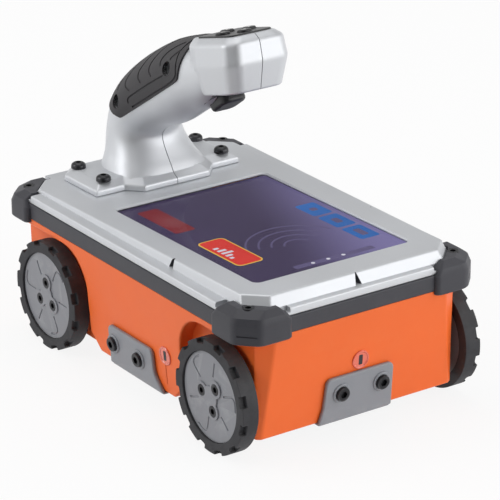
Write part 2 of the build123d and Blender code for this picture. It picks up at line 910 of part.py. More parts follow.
with BuildPart() as handle_body:
    with BuildSketch(deck):
        with BuildLine():
            Polyline([(x, y + flange_y) for x, y in flange_outline], close=True)
        make_face()
    extrude(amount=flange_edge)
    with BuildSketch(deck.offset(flange_edge)):
        with BuildLine():
            Polyline([(x, y + flange_y) for x, y in flange_outline], close=True)
        make_face()
    extrude(amount=flange_bevel_height, taper=degrees(atan(flange_bevel_width / flange_bevel_height)))
    with BuildSketch(trigger_face.offset(boss_face)):
        Polygon(*soft_box(
            2 * (trigger_half_width + trigger_boss_wall),
            trigger_length + 2 * trigger_boss_wall,
            trigger_corner + trigger_boss_wall,
        ))
    extrude(amount=-trigger_boss_depth)
    add([head.part, neck_blank])
    add([handle_cuts.part, handle_grip.part], mode=Mode.SUBTRACT)
with BuildPart() as handle_left_shell:
    add(handle_body.part)
    split(bisect_by=Plane.YZ, keep=Keep.TOP)
save(handle_left_shell, "handle_left_shell")
with BuildPart() as handle_right_shell:
    add(handle_body.part)
    split(bisect_by=Plane.YZ, keep=Keep.BOTTOM)
save(handle_right_shell, "handle_right_shell")

# Screws that clamp the halves together, deep in the grip's recesses
with BuildPart() as handle_clamp_screws:
    for place in clamp_places:
        add(clamp_hole(place, clamp_head_radius, clamp_seat + clamp_head_height, clamp_head_height))
        add(clamp_hole(place, clamp_shank_radius, clamp_seat, clamp_seat + clamp_shank_reach))
save(handle_clamp_screws, "handle_clamp_screws")

# Button-head screws that hold the flange to the deck
flange_top = deck.offset(flange_height)
with BuildPart() as handle_base_screws:
    with BuildSketch(flange_top):
        with Locations(*flange_screw_places):
            RegularPolygon(button_radius, screw_sides)
    extrude(amount=button_rim)
    with BuildSketch(flange_top.offset(button_rim)):
        with Locations(*flange_screw_places):
            RegularPolygon(button_radius, screw_sides)
    extrude(amount=button_dome, taper=button_slope)
    with BuildSketch(flange_top):
        with Locations(*flange_screw_places):
            RegularPolygon(screw_shank_radius, shank_sides)
    extrude(amount=-flange_height - deck_thickness)
save(handle_base_screws, "handle_base_screws")

# Keypad: a bezel on top of the head, a board under it and four sprung keys
with BuildPart() as keypad_board:
    with BuildSketch(head_plan.offset(pad_floor)):
        with Locations(pad_middle):
            Polygon(*soft_box(board_width, board_length, pad_corner))
    extrude(amount=board_thickness)
save(keypad_board, "keypad_board")
with BuildPart() as keypad_bezel:
    with BuildSketch(head_plan.offset(head_top)):
        with Locations(pad_middle):
            Polygon(*soft_box(2 * pad_half_width, pad_length, pad_corner))
    extrude(amount=pad_proud)
    with BuildSketch(head_plan.offset(pad_floor + board_thickness)):
        with Locations(pad_middle):
            Polygon(*soft_box(board_width, board_length, pad_corner))
    extrude(amount=pad_recess - board_thickness)
    with BuildSketch(head_plan.offset(pad_floor + board_thickness)):
        with Locations(pad_middle):
            Rectangle(board_width - 2 * pad_wall, board_length - 2 * pad_wall)
    extrude(amount=pad_recess - board_thickness + pad_proud - pad_plate, mode=Mode.SUBTRACT)
    with BuildSketch(head_plan.offset(pad_floor)):
        with Locations(*key_places.values()):
            RegularPolygon(key_radius + key_gap, key_sides)
    extrude(amount=pad_recess + pad_proud, mode=Mode.SUBTRACT)
save(keypad_bezel, "keypad_bezel")
key_collar_top = head_top + pad_proud - pad_plate - key_gap
for key_name, place in key_places.items():
    with BuildPart() as key:
        with BuildSketch(head_plan.offset(key_collar_top)):
            with Locations(place):
                RegularPolygon(key_radius, key_sides)
        extrude(amount=key_gap + pad_plate + key_proud)
        with BuildSketch(head_plan.offset(key_collar_top)):
            with Locations(place):
                RegularPolygon(key_radius + key_collar, key_sides)
        extrude(amount=-key_collar_thickness)
    save(key, f"key_{key_name}")

# Trigger: a sprung button under the head, with a collar behind the boss's lip and a switch above it
with BuildPart() as trigger_button:
    with BuildSketch(trigger_face):
        Polygon(*soft_box(2 * trigger_half_width, trigger_length, trigger_corner))
    extrude(amount=chamber_top - trigger_gap - trigger_collar_thickness)
    pressed_face = trigger_button.faces().sort_by(Axis(trigger_face.origin, trigger_face.z_dir))[-1]
    chamfer(pressed_face.edges(), trigger_edge)
    with BuildSketch(trigger_face.offset(chamber_top - trigger_gap)):
        Polygon(*soft_box(
            2 * (trigger_half_width + trigger_collar),
            trigger_length + 2 * trigger_collar,
            trigger_corner + trigger_collar,
        ))
    extrude(amount=-trigger_collar_thickness)
save(trigger_button, "trigger_button")
with BuildPart() as trigger_switch:
    with BuildSketch(trigger_face.offset(chamber_floor)):
        Rectangle(switch_width, switch_length)
    extrude(amount=-switch_depth)
save(trigger_switch, "trigger_switch")


# Wheels: notched tyres on hubs with a three-lobed boss, two to an axle
axles = {
    "front": (front_axle_y, front_hub_screw_angle),
    "rear": (rear_axle_y, rear_hub_screw_angle),
}
for axle_name, (axle_y, screw_angle) in axles.items():
    with BuildPart() as axle:
        with Locations(Location((0, axle_y, tyre_radius), (0, 90, 0))):
            Cylinder(axle_radius, 2 * (hub_face - axle_end_cover - hub_boss_height))
    save(axle, f"{axle_name}_axle")
    screws = []
    for side_name, side in (("left", 1), ("right", -1)):
        with BuildPart() as hub:
            with BuildSketch(hub_face_plane(axle_y, side, hub_back)):
                RegularPolygon(hub_radius, hub_sides)
            extrude(amount=hub_plate)
            with BuildSketch(hub_face_plane(axle_y, side, hub_back + hub_plate)):
                RegularPolygon(hub_core_radius, hub_lobe_sides)
                with PolarLocations(hub_screw_circle, hub_screw_count, start_angle=screw_angle):
                    RegularPolygon(hub_lobe_radius, hub_lobe_sides)
            extrude(amount=hub_boss_height)
            with BuildSketch(hub_face_plane(axle_y, side, bush_face + bush_gap)):
                RegularPolygon(bush_radius, bush_sides)
            extrude(amount=hub_back - bush_face - bush_gap)
            with BuildSketch(hub_face_plane(axle_y, side, bush_face)):
                Circle(axle_radius)
            extrude(amount=hub_face - axle_end_cover - hub_boss_height - bush_face, mode=Mode.SUBTRACT)
            with BuildSketch(hub_face_plane(axle_y, side, hub_face - screw_head)):
                with PolarLocations(hub_screw_circle, hub_screw_count, start_angle=screw_angle):
                    RegularPolygon(screw_radius + hole_clearance, screw_sides)
            extrude(amount=screw_head, mode=Mode.SUBTRACT)
        save(hub, f"{axle_name}_{side_name}_hub")
        with BuildPart() as tyre:
            with BuildSketch(hub_face_plane(axle_y, side, tyre_inner_face)):
                RegularPolygon(tyre_radius, tyre_sides)
                RegularPolygon(hub_radius, hub_sides, mode=Mode.SUBTRACT)
            extrude(amount=tyre_width)
            with BuildSketch(hub_face_plane(axle_y, side, tyre_face)):
                with PolarLocations(tyre_radius, tread_notches, start_angle=180 / tread_notches):
                    Rectangle(2 * tread_notch_depth, tread_notch_length)
            extrude(amount=-tread_notch_width, mode=Mode.SUBTRACT)
        save(tyre, f"{axle_name}_{side_name}_tyre")
        with BuildPart() as hub_screw_set:
            with BuildSketch(hub_face_plane(axle_y, side, hub_face - screw_head)):
                with PolarLocations(hub_screw_circle, hub_screw_count, start_angle=screw_angle):
                    RegularPolygon(screw_radius, screw_sides)
            extrude(amount=screw_head)
        screws.append(hub_screw_set.part)
    with BuildPart() as hub_screws:
        add(screws)
    save(hub_screws, f"{axle_name}_hub_screws")

# Flanged bushes in the well walls
with BuildPart() as axle_bearings:
    for axle_y in (front_axle_y, rear_axle_y):
        for side in (-1, 1):
            with BuildSketch(hub_face_plane(axle_y, side, well_wall_x - wall)):
                RegularPolygon(bush_radius, bush_sides)
                RegularPolygon(bush_bore, bush_sides, major_radius=False, mode=Mode.SUBTRACT)
            extrude(amount=wall)
            with BuildSketch(hub_face_plane(axle_y, side, well_wall_x)):
                RegularPolygon(bush_radius + bush_flange_lap, bush_sides)
                RegularPolygon(bush_bore, bush_sides, major_radius=False, mode=Mode.SUBTRACT)
            extrude(amount=bush_flange_thickness)
save(axle_bearings, "axle_bearings")

# Distance encoder on the rear axle
disc_plane = Plane(origin=(encoder_x, rear_axle_y, tyre_radius), x_dir=(0, 1, 0), z_dir=(1, 0, 0))
with BuildPart() as encoder_disc:
    with BuildSketch(disc_plane):
        RegularPolygon(encoder_radius, encoder_sides)
        Circle(axle_radius, mode=Mode.SUBTRACT)
        with PolarLocations(encoder_radius - 2 * encoder_slot_radius, encoder_slots):
            Rectangle(2 * encoder_slot_radius, encoder_slot_radius, mode=Mode.SUBTRACT)
    extrude(amount=encoder_thickness)
save(encoder_disc, "encoder_disc")
sensor_half = encoder_thickness / 2 + sensor_gap
sensor_top = tyre_radius - encoder_radius + sensor_overlap
with BuildPart() as encoder_sensor:
    with BuildSketch(Plane.XY.offset(floor_z)):
        with Locations((encoder_x + encoder_thickness / 2, rear_axle_y)):
            Rectangle(2 * (sensor_half + sensor_wall), sensor_width)
    extrude(amount=sensor_top - floor_z)
    with BuildSketch(Plane.XY.offset(tyre_radius - encoder_radius - sensor_gap)):
        with Locations((encoder_x + encoder_thickness / 2, rear_axle_y)):
            Rectangle(2 * sensor_half, sensor_width)
    extrude(amount=sensor_top, mode=Mode.SUBTRACT)
save(encoder_sensor, "encoder_sensor")

# Antenna flat on the floor of the housing, and the main board on standoffs over it
antenna_top = floor_z + antenna_height
with BuildPart() as antenna_module:
    with BuildSketch(Plane.XY.offset(floor_z)):
        with Locations((0, antenna_y)):
            Rectangle(antenna_width, antenna_length)
    extrude(amount=antenna_height)
    chamfer(antenna_module.edges().group_by(Axis.Z)[-1], antenna_bevel)
save(antenna_module, "antenna_module")
with BuildPart() as main_board:
    with BuildSketch(Plane.XY.offset(antenna_top + standoff_height)):
        with Locations((0, antenna_y)):
            Rectangle(main_board_width, main_board_length)
    extrude(amount=main_board_thickness)
    with BuildSketch(Plane.XY.offset(antenna_top)):
        with Locations((0, antenna_y)):
            with GridLocations(
                antenna_width - 2 * (antenna_bevel + standoff_inset),
                antenna_length - 2 * (antenna_bevel + standoff_inset),
                2,
                2,
            ):
                RegularPolygon(standoff_radius, standoff_sides)
    extrude(amount=standoff_height)
save(main_board, "main_board")

# Battery on its ribs, behind a door that swings down on a pin
with BuildPart() as battery_pack:
    with BuildSketch(Plane.XY.offset(battery_bottom)):
        with Locations((0, (battery_front + battery_rear) / 2)):
            Polygon(*soft_box(battery_width, battery_length, battery_round))
    extrude(amount=battery_height)
save(battery_pack, "battery_pack")
hinge_clear = door_width / 2 - hinge_lug - hinge_gap
with BuildPart() as battery_door:
    with BuildSketch(door_plane):
        Rectangle(door_width - 2 * door_gap, door_height - 2 * door_gap)
    extrude(amount=-wall)
    for lug_plane in (hinge_axis.offset(hinge_clear), hinge_axis.offset(-door_width / 2)):
        with BuildSketch(lug_plane):
            Circle(hinge_radius + hinge_gap)
        extrude(amount=hinge_lug + hinge_gap, mode=Mode.SUBTRACT)
    with BuildSketch(door_plane):
        with Locations((0, -door_height / 2 + door_gap - hinge_below)):
            Rectangle(2 * hinge_clear, 2 * hinge_below)
    extrude(amount=hinge_out)
    with BuildSketch(hinge_axis):
        Circle(hinge_radius)
    extrude(amount=hinge_clear, both=True)
    with BuildSketch(hinge_axis):
        Circle(pin_radius + running_clearance)
    extrude(amount=door_width / 2, both=True, mode=Mode.SUBTRACT)
    with BuildSketch(door_plane):
        with Locations((0, door_height / 2 - door_gap)):
            SlotOverall(door_thumb_width, door_height / 2)
    extrude(amount=-door_thumb_depth, mode=Mode.SUBTRACT)
save(battery_door, "battery_door")
with BuildPart() as door_hinge_pin:
    with BuildSketch(hinge_axis):
        Circle(pin_radius)
    extrude(amount=door_width / 2, both=True)
save(door_hinge_pin, "door_hinge_pin")


front_screw_plane = front_wall(front_tab_screw_z).offset(tab_thickness)
front_screw_places = [(-front_tab_screw, 0), (front_tab_screw, 0)]
side_screw_plane = right_wall(0, side_tab_screw_z).offset(tab_thickness)
side_screw_places = [(-side_tab_screw_rear, 0), (-side_tab_screw_front, 0)]


def tab_plate(plane, top, straight, flared, flare, flare_top, screw_plane, screw_places):
    """Turned-up tab on a wall: one side straight, the other flared in a hollow curve towards the floor."""
    direction = 1 if flared > straight else -1
    with BuildPart() as tab:
        with BuildSketch(plane):
            with BuildLine():
                upper = Polyline((straight, 0), (straight, top), (flared, top), (flared, flare_top))
                toe = flared + direction * flare
                curve = TangentArc(upper @ 1, (toe, flare_top - flare), tangent=(0, -1))
                Polyline(curve @ 1, (toe, 0), (straight, 0))
            make_face()
        extrude(amount=tab_thickness)
        with BuildSketch(screw_plane):
            with Locations(*screw_places):
                RegularPolygon(screw_shank_radius + hole_clearance, shank_sides)
        extrude(amount=-tab_thickness, mode=Mode.SUBTRACT)
    return tab.part


# Skid plate under the housing, with a tab turned up each wall
front_plane = front_wall(skid_bottom)
side_plane = right_wall(0, skid_bottom)
rise = 1 / cos(radians(draft))
front_tab = tab_plate(
    front_plane,
    (front_tab_top - skid_bottom) * rise,
    front_tab_half_width,
    -front_tab_half_width,
    front_tab_flare,
    (front_tab_flare_top - skid_bottom) * rise,
    front_screw_plane,
    front_screw_places,
)
side_tab = tab_plate(
    side_plane,
    (side_tab_top - skid_bottom) * rise,
    -side_tab_rear,
    -side_tab_front,
    side_tab_flare,
    (side_tab_flare_top - skid_bottom) * rise,
    side_screw_plane,
    side_screw_places,
)
sponson_front = front_axle_y + arch_reach + sponson_chamfer
sponson_rear = rear_axle_y - arch_reach - sponson_chamfer
bottom_half_x = housing_half_x - wall_inset(housing_bottom)
bottom_half_y = housing_half_y - wall_inset(housing_bottom)
with BuildPart() as skid_plate:
    with BuildSketch(Plane.XY.offset(skid_bottom)):
        Rectangle(2 * (well_wall_x - facet_x - skid_inset), 2 * (bottom_half_y - skid_inset))
        with Locations((0, (sponson_front + sponson_rear) / 2)):
            Rectangle(2 * (bottom_half_x - skid_inset), sponson_rear - sponson_front - 2 * skid_inset)
        Rectangle(2 * (front_tab_half_width - foot_inset), 2 * bottom_half_y)
        with Locations((0, (side_tab_front + side_tab_rear) / 2)):
            Rectangle(2 * bottom_half_x, side_tab_rear - side_tab_front - 2 * foot_inset)
    extrude(amount=skid_thickness)
    add(front_tab)
    add(front_tab.rotate(Axis.Z, 180))
    add(side_tab)
    mirror(side_tab, about=Plane.YZ)
save(skid_plate, "skid_plate")

# Screws in the skid plate's tabs
front_screws = socket_screw(front_screw_plane, front_screw_places, tab_thickness)
side_screws = socket_screw(side_screw_plane, side_screw_places, tab_thickness)
with BuildPart() as skid_plate_screws:
    add(front_screws)
    add(front_screws.rotate(Axis.Z, 180))
    add(side_screws)
    mirror(side_screws, about=Plane.YZ)
save(skid_plate_screws, "skid_plate_screws")


def window_disc(plane):
    """Round lens that fills its hole and stands a little proud."""
    with BuildPart() as disc:
        with BuildSketch(plane.offset(-wall)):
            RegularPolygon(window_radius, window_sides)
        extrude(amount=wall + window_proud)
    return disc


# Laser windows and the modules behind them
front_place = front_wall(front_window_z)
side_place = right_wall(side_window_y, side_window_z)
save(window_disc(front_place), "laser_window_front")
save(window_disc(side_place), "laser_window_right")
with BuildPart() as laser_window_left:
    mirror(window_disc(side_place).part, about=Plane.YZ)
save(laser_window_left, "laser_window_left")
with BuildPart() as laser_modules:
    with BuildSketch(front_place.offset(-wall)):
        RegularPolygon(laser_radius, screw_sides)
    extrude(amount=-laser_length)
    with BuildSketch(side_place.offset(-wall)):
        RegularPolygon(laser_radius, screw_sides)
    side_laser = extrude(amount=-laser_length)
    mirror(side_laser, about=Plane.YZ)
save(laser_modules, "laser_modules")
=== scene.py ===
from functools import cache
from math import atan2, copysign, cos, pi, radians, sin, tan

import bmesh
import bpy
from mathutils import Matrix, Vector


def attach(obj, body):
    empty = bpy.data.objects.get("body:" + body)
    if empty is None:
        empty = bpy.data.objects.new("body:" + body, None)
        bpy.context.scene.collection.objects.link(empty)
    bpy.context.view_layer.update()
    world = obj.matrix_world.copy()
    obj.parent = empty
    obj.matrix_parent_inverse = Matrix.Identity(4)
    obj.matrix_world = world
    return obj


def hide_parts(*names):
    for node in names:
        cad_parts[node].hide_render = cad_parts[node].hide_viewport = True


bl_info = {
    "name": "Scanning Radar Dress",
    "version": (1, 0, 0),
    "blender": (4, 5, 0),
    "location": "View3D > Sidebar > Scanner",
    "description": "Dresses the solid model of a handheld concrete scanning radar",
    "category": "Add Mesh",
}

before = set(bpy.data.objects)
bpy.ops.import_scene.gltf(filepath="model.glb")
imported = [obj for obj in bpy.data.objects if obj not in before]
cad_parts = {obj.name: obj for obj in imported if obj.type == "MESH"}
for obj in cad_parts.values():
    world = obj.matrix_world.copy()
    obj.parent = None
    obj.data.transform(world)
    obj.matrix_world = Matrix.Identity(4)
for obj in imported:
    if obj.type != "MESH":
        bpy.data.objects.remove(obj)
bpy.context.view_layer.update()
MM = 0.001

# Places and sizes of the solid model, in millimetres
SIDES = {"left": 1, "right": -1}
DECK_HEIGHT = 89.4
DECK_TILT = radians(1.18)
WALL_X = 74.8
WALL_Y = 119.6
DRAFT = radians(4.5)
RAIL_X = 75.1
RAIL_Y = 119.9
RAIL_CORNER = 9.0
RAIL_BOTTOM = 71.5
RAIL_TOP = 80.9
LEDGE = 85.55
PLATEAU_Y = -2.5
PLATEAU_HALF_X = 67.7
PLATEAU_HALF_Y = 113.0
PLATEAU_CORNER = 11.0
SIDE_SLOPE = 0.34
END_SLOPE = 0.55
SCREEN_Y = -24.7
SCREEN_HALF_X = 50.65
SCREEN_HALF_Y = 68.85
GLASS_SEAT = -1.3
GLASS_THICK = 1.8
PANEL_GAP = 0.4
PANEL_TOP = GLASS_SEAT - GLASS_THICK - PANEL_GAP
WINDOW_FRONT_Z = 43.4
WINDOW_SIDE_Y = -38.7
WINDOW_SIDE_Z = 35.2
SLOT_Y = -38.2
SLOT_Z = 24.0
# Keeps two faces of a cut from lying in one plane
CLEAR = 0.03

# Axles: place along y, and the turn of their hubs in degrees
AXLES = {"front": (-90.0, 50.0), "rear": (76.0, 90.0)}
WHEEL_Z = 31.8
HUB_SCREW_CIRCLE = 7.8
HUB_SCREW_SEAT = 76.0

# Guards at each end: which way along y, the length of the arms and the height of the top
GUARDS = {"front": (-1, 31.5, 87.45), "rear": (1, 27.5, 85.85)}
GUARD_X = 78.3
GUARD_Y = 122.7
GUARD_SEAT = 82.95
GUARD_FACET = 10.5
GUARD_GAP = 0.3
GUARD_SCREW_X = 67.0
GUARD_SCREW_Y = 110.2
GUARD_SCREW_DEEP = 2.0

# Skid plate: its tabs' screws lie at these places along the wall and heights over the bottom
SKID_BOTTOM = 9.0
TAB_FOOT = 2.6
TAB_THICK = 2.5
FRONT_TAB_SCREWS = (-13.2, 13.2)
FRONT_TAB_RISE = 18.9
SIDE_TAB_SCREWS = (11.0, -14.6)
SIDE_TAB_RISE = 15.9

# Handle: places are behind and above the middle of its foot
FLANGE_Y = 88.0
FLANGE_TOP = 6.9
FLANGE_SCREW_X = 40.2
FLANGE_SCREWS_Y = (FLANGE_Y - 16.0, FLANGE_Y + 11.0)
HEAD_TILT = radians(15.5)
HEAD_BACK = -116.0
HEAD_UP = 98.0
HEAD_TOP = 15.0
PAD_Y = 21.9
PAD_TOP = HEAD_TOP + 0.9
TRIGGER_LEAN = radians(35.2)
CLAMPS = ((-51.3, 79.3), (-1.1, 46.4))
CLAMP_SEAT = 13.5
# Neck: place behind and above the foot, half width, half depth and lean in degrees
NECK = (
    (-2.0, 6.2, 29.5, 25.0, 0.0),
    (-1.1, 10.0, 27.6, 23.5, 0.0),
    (0.3, 13.8, 25.6, 22.0, 0.0),
    (1.9, 18.1, 24.2, 20.7, 0.4),
    (3.0, 22.5, 23.3, 19.8, 3.0),
    (3.0, 29.1, 22.4, 19.1, 12.3),
    (1.0, 35.5, 22.0, 19.0, 24.0),
    (-4.6, 43.0, 21.7, 19.3, 37.0),
    (-12.0, 49.0, 21.5, 20.0, 46.0),
    (-21.5, 54.9, 21.0, 21.0, 54.0),
    (-31.0, 60.5, 20.5, 21.5, 59.0),
    (-41.6, 67.0, 20.2, 21.1, 60.9),
    (-52.5, 73.0, 20.0, 20.4, 62.0),
    (-73.0, 80.7, 19.5, 19.1, 68.5),
    (-87.0, 87.2, 18.6, 11.5, 74.5),
    (-97.0, 92.0, 17.0, 8.0, 78.0),
)
# How square the front of the neck is at its foot; 2 is an ellipse
FOOT_FULLNESS = 3.6
# Head: height, front, half width and corner
HEAD = ((-24.0, 9.9, 16.6, 5.4), (0.0, 0.0, 21.0, 6.0), (11.5, 0.0, 20.0, 6.0), (15.0, 3.6, 16.0, 5.0))
# Planes that trim the head: a place along and above its plan, and the way out
HEAD_TRIMS = (((6.7, -15.8), (-0.4, -29.3)), ((36.0, -22.0), (22.0, -10.0)), ((46.0, 0.0), (1.0, 0.0)))
# Keys: place from the middle of the keypad, and the turn of the mark in degrees
KEYS = {"front": (0, -8.5, 0), "rear": (0, 8.5, 180), "right": (-8.5, 0, -90), "left": (8.5, 0, 90)}

# The photograph's camera: centre and focal length in pixels, angles in degrees, aim in millimetres
PHOTO = 500
CENTRE_X = 241.80
CENTRE_Y = 251.00
FOCAL = 2902.2
SENSOR = 36.0
AZIMUTH = -34.436
ELEVATION = 22.254
ROLL = -0.336
CAMERA_AIM = (0, -7.03, 68.5)
CAMERA_AWAY = 1611.5
# Lamps: place in metres, power in watts, width and height in metres
LAMPS = {
    "side": ((-1.5, 0.8, 1.1), 13.0, 1.2, 0.9),
    "front": ((1.0, -1.7, 0.76), 25.8, 2.8, 1.5),
    "top": ((0.2, 0.4, 2.0), 12.0, 1.6, 1.6),
}
LAMP_AIM = (0, 0, 0.08)


def length(name, description, default):
    """Size in millimetres as a length property."""
    return bpy.props.FloatProperty(
        name=name, description=description, default=default * MM, min=0.0, unit="LENGTH", precision=5
    )


def colour(name, description, default):
    """Colour property."""
    return bpy.props.FloatVectorProperty(
        name=name, description=description, default=default, size=3, min=0.0, max=1.0, subtype="COLOR"
    )


class ScannerSizes(bpy.types.PropertyGroup):
    """Sizes of the dressed pieces"""

    tyre_radius: length("Tyre radius", "Outside radius of the tyres", 31.8)
    tyre_width: length("Tyre width", "Width of the tyres", 10.0)
    tyre_face: length("Tyre face", "Outer face of the tyres from the middle", 78.4)
    notch_length: length("Notch length", "Length of a notch in the tyre's shoulder", 6.4)
    notch_depth: length("Notch depth", "Depth of a notch in the tyre's shoulder", 2.6)
    notch_width: length("Notch width", "Width of a notch across the tread", 3.0)
    hub_radius: length("Hub radius", "Outside radius of the hubs", 25.2)
    hub_boss: length("Hub boss", "Height of the three-lobed boss", 0.9)
    screw_radius: length("Screw radius", "Radius of the socket screws' heads", 3.2)
    button_radius: length("Button radius", "Radius of the button-head screws", 4.3)
    housing_round: length("Housing edge", "Rounding of the housing's edges", 1.2)
    door_round: length("Door edge", "Rounding of the battery door's edges", 0.5)
    cover_round: length("Cover edge", "Rounding of the cover's edges", 0.9)
    guard_round: length("Guard edge", "Rounding of the corner guards' edges", 0.8)
    guard_corner: length("Guard corner", "Rounding of the corner guards' upright corners", 7.2)
    head_round: length("Head edge", "Rounding of the head's facets", 2.4)
    seam: length("Seam", "Half width of the seam between the handle's halves", 0.22)
    grip_proud: length("Grip height", "How far the grip stands over the neck", 1.0)
    groove_radius: length("Groove radius", "Radius of the grooves in the grip", 0.75)
    spoke_radius: length("Spoke radius", "Radius of the grooves in the hubs", 0.6)
    screen_lip: length("Screen lip", "Bevel round the screen opening", 0.8)
    tab_shoulder: length("Tab shoulder", "Rounding of the skid tabs' upper corners", 3.5)


class ScannerColours(bpy.types.PropertyGroup):
    """Colours of the finishes"""

    orange: colour("Orange", "Moulded housing", (1.0, 0.168, 0.031))
    charcoal: colour("Charcoal", "Guards and rail", (0.056, 0.056, 0.066))
    silver: colour("Silver", "Painted cover and handle", (0.665, 0.68, 0.705))
    rubber: colour("Rubber", "Grip", (0.032, 0.03, 0.034))
    black: colour("Black", "Keypad and trigger", (0.012, 0.012, 0.014))
    hub: colour("Hub grey", "Wheel hubs", (0.25, 0.256, 0.28))
    tyre: colour("Tyre", "Tyre rubber", (0.019, 0.019, 0.023))
    skid: colour("Skid grey", "Wear plate", (0.275, 0.288, 0.315))
    lens: colour("Lens", "Laser windows", (0.86, 0.16, 0.09))
    screen: colour("Screen", "Ground of the picture", (0.045, 0.03, 0.08))
    tile: colour("Tile", "Tiles of the picture", (0.02, 0.13, 0.42))
    chosen: colour("Chosen tile", "Selected tile of the picture", (0.7, 0.03, 0.018))
    band: colour("Band", "Unselected tile of the picture", (0.2, 0.008, 0.012))
    glow: colour("Glow", "Lighter side of the picture's ground", (0.2, 0.175, 0.36))
    faint: colour("Faint mark", "Fine lines of the picture", (0.11, 0.09, 0.19))


def size(name):
    """A size of the panel, in millimetres."""
    return getattr(bpy.context.scene.scanner_sizes, name) / MM


def tint(name):
    """A colour of the panel."""
    return tuple(getattr(bpy.context.scene.scanner_colours, name))


# Places

def place(origin, normal, along=(1, 0, 0)):
    """Matrix of a flat place, in millimetres, from its origin, its normal and its first axis."""
    z = Vector(normal).normalized()
    x = Vector(along).normalized()
    matrix = Matrix((x, z.cross(x), z)).transposed().to_4x4()
    matrix.translation = origin
    return matrix


def shift(x, y, z=0.0):
    """Move within a place."""
    return Matrix.Translation((x, y, z))


def turned(angle):
    """Turn about a place's normal, in degrees."""
    return Matrix.Rotation(radians(angle), 4, "Z")


FLAT = Matrix.Identity(4)
DECK = place((0, 0, DECK_HEIGHT), (0, sin(DECK_TILT), cos(DECK_TILT)))
SCREEN = DECK @ shift(0, SCREEN_Y)
FOOT = DECK @ Vector((0, FLANGE_Y, 0))
HEAD_PLAN = place(FOOT + Vector((0, HEAD_BACK, HEAD_UP)), (0, sin(HEAD_TILT), cos(HEAD_TILT)))
TRIGGER = place(FOOT + Vector((0, -84.0, 63.1)), (0, -sin(TRIGGER_LEAN), -cos(TRIGGER_LEAN)))


def ring(where, outline, height=0.0):
    """Outline at a height over a place, as points in space."""
    return [where @ Vector((x, y, height)) for x, y in outline]


def wall_inset(z):
    """How far the drafted wall stands in at a height."""
    return (RAIL_BOTTOM - z) * tan(DRAFT)


def front_wall(z):
    """Place on the outside of the front wall."""
    return place((0, -(WALL_Y - wall_inset(z)), z), (0, -cos(DRAFT), -sin(DRAFT)))


def side_wall(side, y, z):
    """Place on the outside of a side wall."""
    normal = (side * cos(DRAFT), 0, -sin(DRAFT))
    return place((side * (WALL_X - wall_inset(z)), y, z), normal, (0, side, 0))


def wheel(end, side, x):
    """Place square to an axle, looking out."""
    return place((side * x, AXLES[end][0], WHEEL_Z), (side, 0, 0), (0, side, 0))


def clamp_place(spot, x):
    """Place square to the middle plane, looking to the right."""
    return place(FOOT + Vector((-x, *spot)), (-1, 0, 0), (0, -1, 0))


# Outlines

def circle(radius, sides):
    """Round outline."""
    turns = [2 * pi * step / sides for step in range(sides)]
    return [(radius * cos(t), radius * sin(t)) for t in turns]


def moved(outline, x, y):
    """Outline shifted in its plane."""
    return [(px + x, py + y) for px, py in outline]


def rounded(points, radii, steps=5):
    """Outline with each corner rounded by its own radius."""
    out = []
    for i, radius in enumerate(radii):
        corner = Vector(points[i])
        if radius <= 0:
            out.append(tuple(corner))
            continue
        back = (Vector(points[i - 1]) - corner).normalized()
        ahead = (Vector(points[(i + 1) % len(points)]) - corner).normalized()
        half = back.angle(ahead) / 2
        reach = radius / max(0.05, abs(tan(half)))
        middle = corner + (back + ahead).normalized() * (radius / sin(half))
        first = corner + back * reach - middle
        last = corner + ahead * reach - middle
        sweep = first.angle_signed(last)
        turn = atan2(first.y, first.x)
        turns = [turn - sweep * step / steps for step in range(steps + 1)]
        out += [(middle.x + radius * cos(t), middle.y + radius * sin(t)) for t in turns]
    return out


def rounded_box(half_x, half_y, radius, steps=6):
    """Rectangle with round corners."""
    corners = [(half_x, -half_y), (half_x, half_y), (-half_x, half_y), (-half_x, -half_y)]
    return rounded(corners, [radius] * 4, steps)


def cut_box(half_x, half_y, corner):
    """Rectangle with its corners cut off."""
    right = [
        (half_x - corner, -half_y), (half_x, -half_y + corner),
        (half_x, half_y - corner), (half_x - corner, half_y),
    ]
    return right + [(-x, y) for x, y in reversed(right)]


def inset(points, distance):
    """Outline moved in by a distance, its corners kept sharp."""
    out = []
    for i, point in enumerate(points):
        corner = Vector(point)
        before = (corner - Vector(points[i - 1])).normalized()
        after = (Vector(points[(i + 1) % len(points)]) - corner).normalized()
        ahead = before + after
        mitre = Vector((-ahead.y, ahead.x))
        out.append(tuple(corner + mitre * (2 * distance / mitre.length_squared)))
    return out


# Modelling

def rest():
    """Leave edit mode and select nothing."""
    if bpy.context.object and bpy.context.object.mode != "OBJECT":
        bpy.ops.object.mode_set(mode="OBJECT")
    bpy.ops.object.select_all(action="DESELECT")


def hold(piece):
    """Select one piece and make it active."""
    rest()
    piece.select_set(True)
    bpy.context.view_layer.objects.active = piece


def edit(piece):
    """Open one piece in edit mode with everything selected."""
    hold(piece)
    bpy.ops.object.mode_set(mode="EDIT")
    bpy.ops.mesh.select_mode(type="VERT")
    bpy.ops.mesh.select_all(action="SELECT")


def drawn(name, points, fill):
    """Closed line through points, in millimetres, open in edit mode."""
    rest()
    bpy.ops.mesh.primitive_circle_add(vertices=len(points), radius=MM, fill_type=fill)
    piece = bpy.context.object
    piece.name = piece.data.name = name
    for vertex, point in zip(piece.data.vertices, points):
        vertex.co = Vector(point) * MM
    edit(piece)
    return piece


def closed(piece, merge=None):
    """Merge what meets, turn all faces outward and leave edit mode."""
    bpy.ops.mesh.select_all(action="SELECT")
    if merge:
        bpy.ops.mesh.remove_doubles(threshold=merge)
    bpy.ops.mesh.normals_make_consistent(inside=False)
    rest()
    return piece


